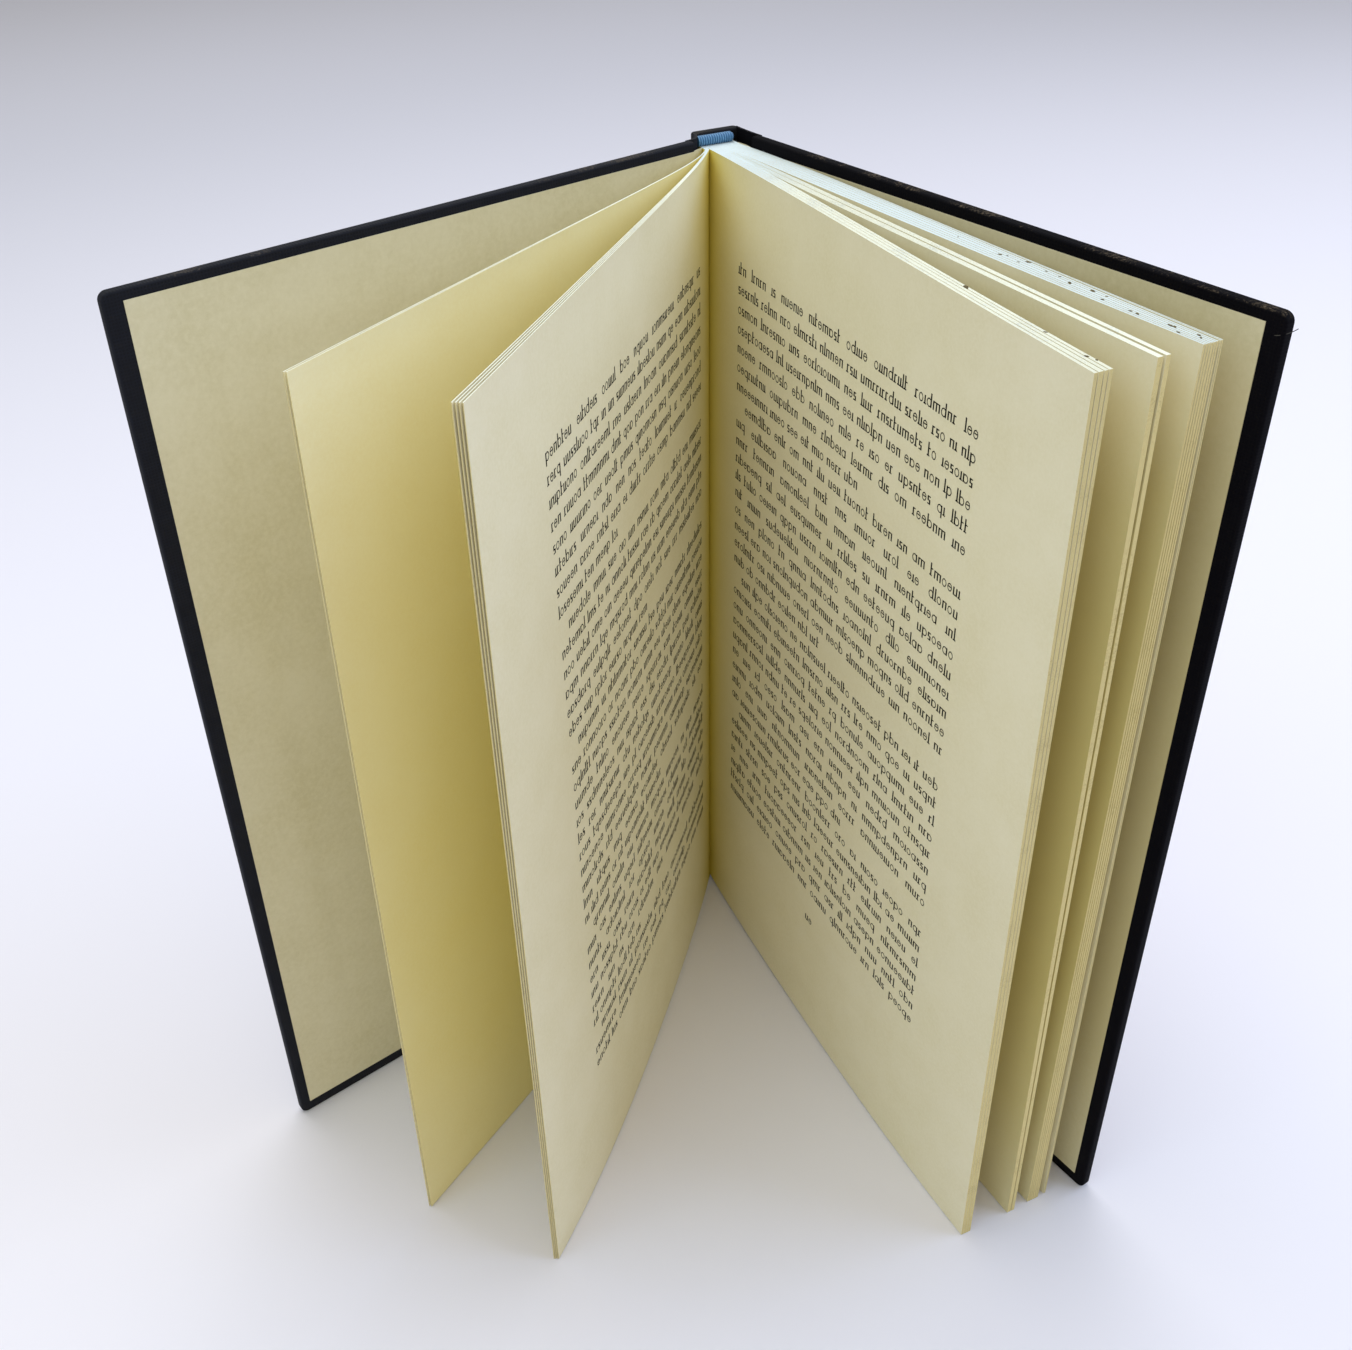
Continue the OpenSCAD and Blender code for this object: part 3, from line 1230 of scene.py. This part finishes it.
@dataclass
class TextBlock:
    """The leaves: single sheets held in the glued back and hanging open in bundles."""

    size: LeafSize
    bundles: Sequence[Bundle]
    first_root: float
    pitch: float
    columns: int = 34
    rows: int = 8
    # Powers by which the columns gather towards the spine and the rows towards the head.
    gather: float = 1.6
    crowd: float = 1.5
    # Step from one bundle's cockling to the next one's in the noise that makes it.
    seed_step: float = 10.0

    def leaves(self) -> list[list[Leaf]]:
        """Lay out the leaves of every bundle.

        Returns:
            The leaves, bundle by bundle, from the front cover to the back cover.
        """
        laid, count = [], 0
        for number, bundle in enumerate(self.bundles):
            roots = [self.first_root + self.pitch * (count + i) for i in range(bundle.leaves)]
            seed = self.seed_step * number
            laid.append([Leaf(self.size, root, bundle, i, seed) for i, root in enumerate(roots)])
            count += bundle.leaves
        return laid

    def build(self, laid: list[list[Leaf]]) -> Object:
        """Make every leaf a thin sheet, with its cut edges finished apart from its faces.

        Args:
            laid: The leaves, bundle by bundle.

        Returns:
            The leaves as one piece.
        """
        thick, glue, free = self.size.thick, self.size.glue, self.size.reach
        bm = bmesh.new()
        finishes = [TEXT_PAPER, HEAD_EDGE, FORE_EDGE, FLY_LEAF]
        toned = bm.verts.layers.float_vector.new(PAINTED_LIGHT_AND_SHADE)
        cream, head, fore, fly = range(len(finishes))
        for leaf in (leaf for row in laid for leaf in row):
            sheet = bend_slab(bm, self.columns, self.rows, lambda share, up, layer: leaf.at(
                -glue + (glue + free) * share ** self.gather, 1 - (1 - up) ** self.crowd,
                (layer - 0.5) * thick))
            # Each point carries its shares of painted shade and of ivory.
            for vert in sheet:
                vert[toned] = leaf.toned(vert.co)
            for face in {face for vert in sheet for face in vert.link_faces}:
                if min(edge.calc_length() for edge in face.edges) > 2 * thick:
                    # Faces of the fly-leaf take its paper with painted light.
                    face.material_index = fly if leaf.bundle.fly_leaf else cream
                    continue
                # Edges that look up or down take the head finish, with its painted cool light.
                face.material_index = head if abs(face.normal.z) > FACING else fore
        piece = make_piece("leaves", bm, finishes)
        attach(piece, "block")
        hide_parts("text_block")
        return piece


class PageSide(Enum):
    """Which face of a leaf a page is, with the way that its lift goes."""

    TOWARDS_FRONT = -1
    TOWARDS_BACK = 1


class LetterForm(Enum):
    """Plain forms that stand for letters, each with its width in x-heights and how often it comes."""

    STEM = (0.2, 19)
    HOOK = (0.5, 14)
    ARCH = (0.78, 15)
    CUP = (0.78, 7)
    TWIN_ARCH = (1.3, 4)
    BOWL = (0.8, 11)
    BARRED_BOWL = (0.8, 14)
    BACKED_BOWL = (0.92, 12)
    WAVE = (0.55, 8)

    @property
    def width(self) -> float:
        """Width in x-heights."""
        return self.value[0]

    @property
    def weight(self) -> int:
        """How often the form comes among the others."""
        return self.value[1]


# Letters in a word; the lengths that come often stand here more than once.
WORD_LENGTHS = (2, 3, 3, 3, 4, 5, 5, 6, 7, 8, 10)


@dataclass
class PrintedPage:
    """Lines of plain letter-like marks on a page, set as a text would be but spelling nothing."""

    name: str
    leaf: Leaf
    side: PageSide
    lines: int
    first_line: float
    folio: float
    inner_edge: float
    outer_edge: float
    seed: int
    line_pitch: float = 4.41
    x_height: float = 1.65
    riser: float = 1.0
    dropper: float = 0.8
    stroke: float = 0.37
    hairline: float = 0.23
    letter_gap: float = 0.42
    word_gap: float = 1.5
    indent: float = 4.0
    folio_w: float = 3.4
    first_paragraph: tuple[int, int] = (5, 9)
    paragraph: tuple[int, int] = (6, 11)
    short_line: tuple[float, float] = (0.25, 0.8)
    riser_share: float = 0.35
    ink: float = 0.02
    clearance: float = 0.012
    bowl_sides: int = 8
    bowl_r: float = 0.53

    def words(self, chance: random.Random, room: float) -> list[list[LetterForm]]:
        """Fill a line with words of plain forms.

        Args:
            chance: Source of the words.
            room: Width of the line.

        Returns:
            The forms, word by word.
        """
        forms = list(LetterForm)
        weights = [form.weight for form in forms]
        line, used = [], 0.0
        while True:
            word = chance.choices(forms, weights, k=chance.choice(WORD_LENGTHS))
            width = self.word_width(word)
            if used + width > room:
                return line
            line.append(word)
            used += width + self.word_gap

    def word_width(self, word: Sequence[LetterForm]) -> float:
        """Width of a word with the gaps between its letters."""
        return sum(form.width * self.x_height + self.letter_gap for form in word) - self.letter_gap

    def build(self) -> Object:
        """Set the lines in paragraphs and wrap them over the leaf.

        Returns:
            The print of the page.
        """
        chance = random.Random(self.seed)
        bm = bmesh.new()
        bowl = self._bowl()
        room = self.outer_edge - self.inner_edge
        until_break = chance.randint(*self.first_paragraph)
        start = 0.0
        for number in range(self.lines):
            baseline = self.first_line - number * self.line_pitch
            until_break -= 1
            short = until_break == 0
            end = room * chance.uniform(*self.short_line) if short else room
            self._set_line(bm, bowl, chance, start, end, baseline, not short)
            start = self.indent if short else 0.0
            if short:
                until_break = chance.randint(*self.paragraph)
        margin = (room - self.folio_w) / 2
        self._set_line(bm, bowl, chance, margin, margin + self.folio_w, self.folio, False)
        for vert in bm.verts:
            vert.co = self._on_page(vert.co)
        bmesh.ops.recalc_face_normals(bm, faces=bm.faces[:])
        bpy.data.meshes.remove(bowl)
        piece = make_piece(self.name, bm, [INK])
        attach(piece, "block")
        return piece

    def _bowl(self) -> Mesh:
        """Make the round form of a letter once: a ring one unit wide and high, on its baseline.

        Returns:
            The ring.
        """
        bm = bmesh.new()
        turn = Matrix.Translation((0.5, 0, 0.5)) @ Matrix.Rotation(math.pi / 2, 4, "X")
        bmesh.ops.create_circle(
            bm, segments=self.bowl_sides, radius=self.bowl_r, cap_ends=True, matrix=turn)
        disc = bm.faces[:]
        bmesh.ops.inset_region(bm, faces=disc, thickness=self.hairline / self.x_height, use_boundary=True)
        bmesh.ops.delete(bm, geom=disc, context="FACES_ONLY")
        made = bmesh.ops.extrude_face_region(bm, geom=bm.faces[:])["geom"]
        raised = [part for part in made if isinstance(part, BMVert)]
        bmesh.ops.translate(bm, vec=Vector((0, self.ink, 0)), verts=raised)
        mesh = bpy.data.meshes.new("bowl")
        bm.to_mesh(mesh)
        bm.free()
        return mesh

    def _set_line(
        self, bm: BMesh, bowl: Mesh, chance: random.Random, start: float, end: float,
        baseline: float, justify: bool
    ) -> None:
        """Set one line of marks, flat.

        Args:
            bm: Mesh that takes the line.
            bowl: Ring for the round forms.
            chance: Source of the words.
            start: Where the line starts.
            end: Where it has to end.
            baseline: Height of its foot.
            justify: Whether the gaps stretch, so that the line fills its width.
        """
        line = bmesh.new()
        words = self.words(chance, end - start)
        spare = end - start - sum(self.word_width(word) for word in words)
        gap = spare / (len(words) - 1) if justify and len(words) > 1 else self.word_gap
        spot = start
        for word in words:
            for form in word:
                self._set_letter(line, bowl, chance, form, Vector((spot, 0, baseline)))
                spot += form.width * self.x_height + self.letter_gap
            spot += gap - self.letter_gap
        add_part(bm, line)

    def _set_letter(
        self, bm: BMesh, bowl: Mesh, chance: random.Random, form: LetterForm, foot: Vector
    ) -> None:
        """Set one form out of stems, hairlines and rings.

        Args:
            bm: Mesh that takes the form.
            bowl: Ring for the round forms.
            chance: Source of the form's risers and droppers.
            form: Which form it is.
            foot: Left end of the form on its baseline.
        """
        wide, high, thin = form.width * self.x_height, self.x_height, self.hairline
        tall = high + (self.riser if chance.random() < self.riser_share else 0.0)
        right = wide - self.stroke
        if form in (LetterForm.STEM, LetterForm.HOOK):
            self._bar(bm, foot, 0, self.stroke, 0, tall)
            self._bar(bm, foot, -thin, self.stroke + thin, 0, thin)
        if form is LetterForm.HOOK:
            self._bar(bm, foot, 0, wide, high - thin, high)
        if form in (LetterForm.ARCH, LetterForm.CUP, LetterForm.TWIN_ARCH):
            level = 0 if form is LetterForm.CUP else high - thin
            for left in (0, right / 2, right) if form is LetterForm.TWIN_ARCH else (0, right):
                self._bar(bm, foot, left, left + self.stroke, 0, high)
            self._bar(bm, foot, 0, wide, level, level + thin)
        if form in (LetterForm.BOWL, LetterForm.BARRED_BOWL, LetterForm.BACKED_BOWL):
            count = len(bm.verts)
            bm.from_mesh(bowl)
            bm.verts.ensure_lookup_table()
            size = Matrix.Diagonal(Vector((wide, 1, high, 1)))
            bmesh.ops.transform(bm, matrix=Matrix.Translation(foot) @ size, verts=bm.verts[count:])
        if form is LetterForm.BARRED_BOWL:
            self._bar(bm, foot, thin, wide - thin, high / 2, high / 2 + thin)
        if form is LetterForm.BACKED_BOWL:
            left = chance.choice((0, right))
            low, top = chance.choice(((0, high + self.riser), (-self.dropper, high), (0, high)))
            self._bar(bm, foot, left, left + self.stroke, low, top)
        if form is LetterForm.WAVE:
            for level in (0, (high - thin) / 2, high - thin):
                self._bar(bm, foot, 0, wide, level, level + thin)
            self._bar(bm, foot, 0, self.stroke, high / 2, high)
            self._bar(bm, foot, right, wide, 0, high / 2)

    def _bar(self, bm: BMesh, foot: Vector, left: float, right: float, low: float, high: float) -> None:
        """Add one flat bar of ink beside the foot of a letter."""
        add_block(bm, foot + Vector((left, 0, low)), foot + Vector((right, self.ink, high)))

    def _on_page(self, flat: Vector) -> Vector:
        """Wrap a point of the flat print over the leaf.

        Args:
            flat: Place along the line, lift off the page and height.

        Returns:
            The point on the page.
        """
        distance = self.inner_edge + flat.x
        if self.side is PageSide.TOWARDS_BACK:
            distance = self.outer_edge - flat.x
        size = self.leaf.size
        up = (flat.z - size.low(distance)) / size.height
        return self.leaf.at(distance, up, self.side.value * (size.thick / 2 + self.clearance + flat.y))


class End(Enum):
    """The two ends of the spine, with the way that leads off each."""

    HEAD = 1
    TAIL = -1


@dataclass
class Headband:
    """A woven band: threads wound round a cord at the end of the glued back, with a tail glued behind."""

    name: str
    node: str
    end: End
    end_z: float
    back_y: float
    left: float = -6.2
    right: float = 2.65
    bead: float = 2.2
    # Shares of the bead's radius that its middle stands off the leaves and that its left end is long.
    stand_off: float = 0.85
    left_end: float = 0.35
    tail: float = 10.0
    tail_t: float = 0.3
    wind: float = 0.55
    wind_depth: float = 0.05
    wind_steps: int = 4
    sides: int = 20

    def build(self) -> Object:
        """Wind the bead and hang its tail.

        Returns:
            The band.
        """
        length = self.right - self.left
        turns = round(length / self.wind)
        radius = self.bead / 2
        off = self.end.value
        middle = Vector((
            self.left, self.back_y + self.tail_t - radius, self.end_z + off * radius * self.stand_off))
        bm = bmesh.new()
        tube = bmesh.ops.create_grid(
            bm, x_segments=turns * self.wind_steps, y_segments=self.sides, size=0.5)["verts"]
        for vert in tube:
            along, angle = vert.co.x + 0.5, 2 * math.pi * vert.co.y
            close = min(1.0, (1 - along) * length / radius, along * length / (self.left_end * radius))
            rim = math.sqrt(max(0.0, 1 - (1 - close) ** 2))
            wound = rim * (radius - self.wind_depth * math.cos(2 * math.pi * along * turns))
            vert.co = middle + Vector((along * length, wound * math.cos(angle), wound * math.sin(angle)))
        bmesh.ops.remove_doubles(bm, verts=bm.verts[:], dist=NEAR)
        bmesh.ops.recalc_face_normals(bm, faces=bm.faces[:])
        low, high = sorted((self.end_z + off * radius, self.end_z - off * self.tail))
        add_block(bm, Vector((self.left + radius / 2, self.back_y, low)),
                  Vector((self.right - radius / 2, self.back_y + self.tail_t, high)))
        piece = make_piece(self.name, bm, [BLUE_BAND])
        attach(piece, "block")
        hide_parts(self.node)
        return piece


@dataclass(frozen=True)
class Speck:
    """A speck of dirt on the head of the leaves: its bundle, place and size."""

    bundle: int
    distance: float
    across: float
    length: float
    width: float


@dataclass
class HeadDirt:
    """Dried specks of dirt on the head of the leaves."""

    laid: list[list[Leaf]]
    specks: Sequence[Speck]
    thick: float = 0.12
    uneven: float = 0.35
    lumps: float = 3.0
    turn: float = 0.6
    seed: int = 5

    def build(self) -> Object:
        """Lay flat, uneven crumbs on the cut edges.

        Returns:
            The specks as one piece.
        """
        chance = random.Random(self.seed)
        bm = bmesh.new()
        for speck in self.specks:
            row = self.laid[speck.bundle]
            leaf = row[round(speck.across * (len(row) - 1))]
            place = leaf.at(speck.distance, 1.0, 0.0)
            crumb = bmesh.ops.create_icosphere(bm, subdivisions=2, radius=0.5)["verts"]
            for vert in crumb:
                vert.co *= 1 + self.uneven * noise.noise(vert.co * self.lumps + place)
            shape = Matrix.Diagonal(Vector((speck.width, speck.length, self.thick, 1)))
            turn = Matrix.Rotation(chance.uniform(-self.turn, self.turn), 4, "Z")
            bmesh.ops.transform(bm, matrix=Matrix.Translation(place) @ turn @ shape, verts=crumb)
        piece = make_piece("head_specks", bm, [DIRT])
        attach(piece, "block")
        return piece


@dataclass
class Lint:
    """A loose cotton hair that hangs over the fore-edge of a cover, near its head."""

    cover: Cover
    start: Vector = field(default_factory=lambda: Vector((128.6, 2.4, 206.5)))
    knee: Vector = field(default_factory=lambda: Vector((130.4, 2.3, 207.0)))
    end: Vector = field(default_factory=lambda: Vector((130.4, -0.4, 207.4)))
    thick: float = 0.09
    steps: int = 10

    def build(self) -> Object:
        """Lay the hair on the turned-in cloth and round the fore-edge.

        Returns:
            The hair.
        """

        def place(share: float, up: float, layer: float) -> Vector:
            """Lay one point of the hair."""
            spot = quadratic(self.start, self.knee, self.end, share)
            return self.cover.point(spot.x + layer * self.thick, spot.y, spot.z + up * self.thick)

        bm = bmesh.new()
        bend_slab(bm, self.steps, 1, place)
        piece = make_piece("cover_lint", bm, [LINT])
        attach(piece, self.cover.side.body)
        return piece


@dataclass(frozen=True)
class Lamp:
    """A square soft lamp: its place, the length of its side, its power in watts and its colour."""

    name: str
    place: Vector
    side: float
    power: float
    colour: str

    def hang(self, aim: Vector) -> None:
        """Hang the lamp so that it points at a place.

        Args:
            aim: Place that it points at.
        """
        light = bpy.data.lights.new(self.name, "AREA")
        light.size = self.side * MM
        light.energy = self.power
        light.color = linear(self.colour)[:3]
        lamp = bpy.data.objects.new(self.name, light)
        lamp.location = self.place * MM
        lamp.rotation_mode = "QUATERNION"
        lamp.rotation_quaternion = (aim - self.place).to_track_quat("-Z", "Y")
        bpy.context.collection.objects.link(lamp)


LAMPS = (
    Lamp("overhead softbox", Vector((0, 500, 1500)), 1500, 16.5, "#f6faff"),
    Lamp("window on the right", Vector((1100, -500, 1000)), 1200, 11.0, "#c0d7ff"),
    Lamp("window on the left", Vector((-1100, -500, 1000)), 1200, 4.3, "#cbedff"),
    Lamp("warm wall in front", Vector((-300, -1400, 1100)), 1200, 1.8, "#fff6cc"),
)


@dataclass
class Studio:
    """Floor, soft light and the camera of the photograph."""

    eye: Vector = field(default_factory=lambda: Vector((-143.66, -282.4, 292.73)))
    heading_deg: float = 22.49
    pitch_deg: float = 34.315
    roll_deg: float = -2.48
    focal_px: float = 1437.7
    axis_px: tuple[float, float] = (620.9, 645.2)
    image_px: tuple[int, int] = (1352, 1350)
    sensor: float = 36.0
    clip: tuple[float, float] = (10.0, 50000.0)
    aim: Vector = field(default_factory=lambda: Vector((-10, -60, 100)))
    floor_half: float = 6000.0
    floor_faces: int = 8
    room_colour: str = "#fff9ed"
    room_light: float = 0.44

    def build(self) -> None:
        """Set the floor, the world, the lamps, the camera and the view transform."""
        self._floor()
        self._world()
        for lamp in LAMPS:
            lamp.hang(self.aim)
        self._camera()
        bpy.context.scene.view_settings.view_transform = "Standard"

    def _floor(self) -> None:
        """Lay a wide floor under the book."""
        bm = bmesh.new()
        bmesh.ops.create_grid(
            bm, x_segments=self.floor_faces, y_segments=self.floor_faces, size=self.floor_half)
        # Pale paper under and behind the book, with painted shade that greys it towards the back of the
        # room.
        finish = StudioSweep(
            "pale studio paper", colour="#f1eef6", far_colour="#ccccd6", near=-100.0, far=1000.0)
        make_piece("studio_floor", bm, [finish])

    def _world(self) -> None:
        """Fill the room with even light."""
        world = bpy.data.worlds.new("studio room")
        bpy.context.scene.world = world
        world.use_nodes = True
        plug(world.node_tree.nodes["Background"], {
            "Color": linear(self.room_colour), "Strength": self.room_light})

    def _camera(self) -> None:
        """Set the camera where the photograph was taken from."""
        heading, pitch, roll = (math.radians(x) for x in (self.heading_deg, self.pitch_deg, self.roll_deg))
        flat = math.cos(pitch)
        ahead = Vector((math.sin(heading) * flat, math.cos(heading) * flat, -math.sin(pitch)))
        level = Vector((math.cos(heading), -math.sin(heading), 0))
        upright = level.cross(ahead)
        right = math.cos(roll) * level + math.sin(roll) * upright
        up = math.cos(roll) * upright - math.sin(roll) * level
        data = bpy.data.cameras.new("photograph")
        data.sensor_width = self.sensor
        data.lens = self.focal_px / self.image_px[0] * self.sensor
        data.shift_x = (self.image_px[0] / 2 - self.axis_px[0]) / self.image_px[0]
        data.shift_y = (self.axis_px[1] - self.image_px[1] / 2) / self.image_px[0]
        data.clip_start, data.clip_end = (limit * MM for limit in self.clip)
        camera = bpy.data.objects.new("photograph", data)
        turn = Matrix((right, up, -ahead)).transposed()
        camera.matrix_world = Matrix.Translation(self.eye * MM) @ turn.to_4x4()
        bpy.context.collection.objects.link(camera)
        bpy.context.scene.camera = camera


# The leaves hang in six bundles from the front cover to the back cover; their shade fields set painted
# shade.
BUNDLES = (
    Bundle(2, Sweep(-57.7, 23.0, 7.0, 0.2), Sweep(-57.5, 22.9, 7.0, 0.2), Sweep(-58.3, 23.0, 7.0, 0.2),
           shade=0.2, shade_end=1.0, shade_run=50.0, fly_leaf=True),
    Bundle(4, Sweep(-43.8, 9.0, 9.4, -0.3), Sweep(-43.2, 9.0, 9.4, -0.3), Sweep(-41.2, 4.7, 22.0, -8.0),
           foot_fan=0.5),
    Bundle(13, Sweep(-2.07, 3.09, 20.0, 0.61), Sweep(-2.34, 6.77, 20.0, 1.84), Sweep(-1.6, -3.2, 17.6, 5.2),
           foot_fan=0.35, white_head=15.0, shade_end=0.7, slits=(3, 7, 10), slit=2.0, width=2.9),
    Bundle(11, Sweep(3.27, -2.11, 20.0, -0.29), Sweep(2.8, 2.82, 20.0, -0.06), Sweep(3.9, 0.5, 36.0, 0.0),
           foot_fan=0.4, white_head=15.0, shade=1.0, shade_end=0.7, shade_rim=0.0, shade_fade=0.0,
           cockle=0.1, slits=(6,), slit=4.4, width=2.3),
    Bundle(24, Sweep(5.9, -0.5, 20.0, 1.2), Sweep(4.84, 7.0, 15.0, 0.5), Sweep(5.9, 1.2, 40.0, -1.4),
           foot_fan=0.8, white_head=200.0, shade=1.0, shade_end=0.7, shade_rim=0.0, shade_fade=0.0,
           cockle=0.12, slits=(4, 8, 12, 17, 21), slit=4.5, width=3.3),
    Bundle(2, Sweep(5.0, 7.0, 15.0, 0.7), Sweep(5.07, 7.0, 15.0, 0.79), Sweep(4.91, 7.0, 15.0, 2.8),
           white_head=200.0, shade=0.7, shade_end=0.7, cockle=0.12),
)
LEFT_PAGE, RIGHT_PAGE, THICK_BUNDLE = 1, 2, 4

# The endpapers spring from the glued back this far behind the place where the leaves come free.
ENDPAPER_ROOT = 1.4

# Specks that lie on the head of the leaves, most of them towards the fore-edge.
SPECKS = (
    Speck(THICK_BUNDLE, 81.8, 0.62, 0.9, 0.5), Speck(THICK_BUNDLE, 83.0, 0.73, 0.4, 0.3),
    Speck(THICK_BUNDLE, 86.3, 0.63, 0.6, 0.3), Speck(THICK_BUNDLE, 87.2, 0.95, 1.1, 0.6),
    Speck(THICK_BUNDLE, 92.1, 0.83, 0.6, 0.3), Speck(THICK_BUNDLE, 95.2, 0.85, 0.6, 0.3),
    Speck(THICK_BUNDLE, 98.1, 0.7, 1.2, 0.6), Speck(THICK_BUNDLE, 102.7, 0.83, 1.2, 0.6),
    Speck(THICK_BUNDLE, 105.7, 0.84, 0.5, 0.3), Speck(THICK_BUNDLE, 106.4, 0.35, 0.8, 0.4),
    Speck(THICK_BUNDLE, 112.2, 0.34, 0.7, 0.4), Speck(THICK_BUNDLE, 113.6, 0.36, 0.9, 0.5),
    Speck(THICK_BUNDLE, 119.6, 0.53, 1.2, 0.5), Speck(THICK_BUNDLE, 120.3, 0.59, 0.9, 0.4),
    Speck(THICK_BUNDLE, 122.2, 0.19, 0.9, 0.3), Speck(THICK_BUNDLE, 124.5, 0.72, 0.8, 0.4),
    Speck(THICK_BUNDLE, 125.4, 0.5, 0.6, 0.4), Speck(THICK_BUNDLE, 71.0, 0.6, 0.4, 0.3),
    Speck(RIGHT_PAGE, 91.1, 0.95, 1.5, 0.8), Speck(RIGHT_PAGE, 112.2, 0.88, 0.8, 0.4),
    Speck(RIGHT_PAGE, 122.2, 0.8, 0.9, 0.5), Speck(RIGHT_PAGE, 124.0, 1.0, 0.6, 0.4),
)


def main() -> None:
    """Build the book piece by piece, then the studio round it."""
    logging.basicConfig(level=logging.INFO, format="%(message)s")
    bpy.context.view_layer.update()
    size = LeafSize(
        back_y=box_mm("text_block")[1].y, glue=4.0, reach=127.5, thick=0.17, head_at_spine=207.85,
        head_at_tip=207.13, height=206.95)
    block = TextBlock(size, BUNDLES, first_root=-5.48, pitch=0.147)
    laid = block.leaves()
    low, high = size.low(0), size.high(0)
    front = Cover(
        Side.FRONT, open_deg=76.3, dust=0.4, colour="#0d0e15", thread_colour="#1b1e2a", width=129.8,
        lean=1.3)
    # The back cover's cloth is the front's cloth painted darker and duller, which is painted shade; its
    # pastedown carries painted shade too.
    back = Cover(
        Side.BACK, open_deg=9.8, dust=0.8, colour="#06050a", thread_colour="#100f13", gloss=0.05,
        width=130.0, lean=0.7, askew=0.5, shade=0.85)
    spine = Spine()
    before_first, behind_last = Vector((-size.thick, ENDPAPER_ROOT)), Vector((size.thick, ENDPAPER_ROOT))
    joints = [
        CoverJoint(front, spine, laid[0][0].root + before_first, low, high),
        CoverJoint(back, spine, laid[-1][-1].root + behind_last, low, high),
    ]
    pages = [
        PrintedPage(
            "left_page_print", laid[LEFT_PAGE][-1], PageSide.TOWARDS_BACK, lines=35, first_line=184.6,
            folio=27.5, inner_edge=10.8, outer_edge=101.0, seed=11),
        PrintedPage(
            "right_page_print", laid[RIGHT_PAGE][0], PageSide.TOWARDS_FRONT, lines=33, first_line=185.4,
            folio=35.0, inner_edge=14.0, outer_edge=102.4, seed=23),
    ]
    bands = [
        Headband("head_band", "headband", End.HEAD, high, size.back_y),
        Headband("tail_band", "tailband", End.TAIL, low, size.back_y, bead=0.9),
    ]
    pieces = [block.build(laid), spine.build()]
    for cover in (front, back):
        pieces += cover.build()
    for joint in joints:
        pieces += joint.build()
    pieces += [part.build() for part in pages + bands]
    pieces += [HeadDirt(laid, SPECKS).build(), Lint(back).build()]
    for node, finish in (("front_board", BOARD), ("back_board", BOARD), ("spine_strip", BOARD),
                         ("spine_lining", LINING)):
        carried = frame["nodes"][node]
        carried.data.materials.clear()
        carried.data.materials.append(finish.material())
        pieces.append(carried)
    for piece in pieces:
        LOG.info("%s: %d faces", piece.name, len(piece.data.polygons))
    Studio().build()


if __name__ == "__main__":
    main()
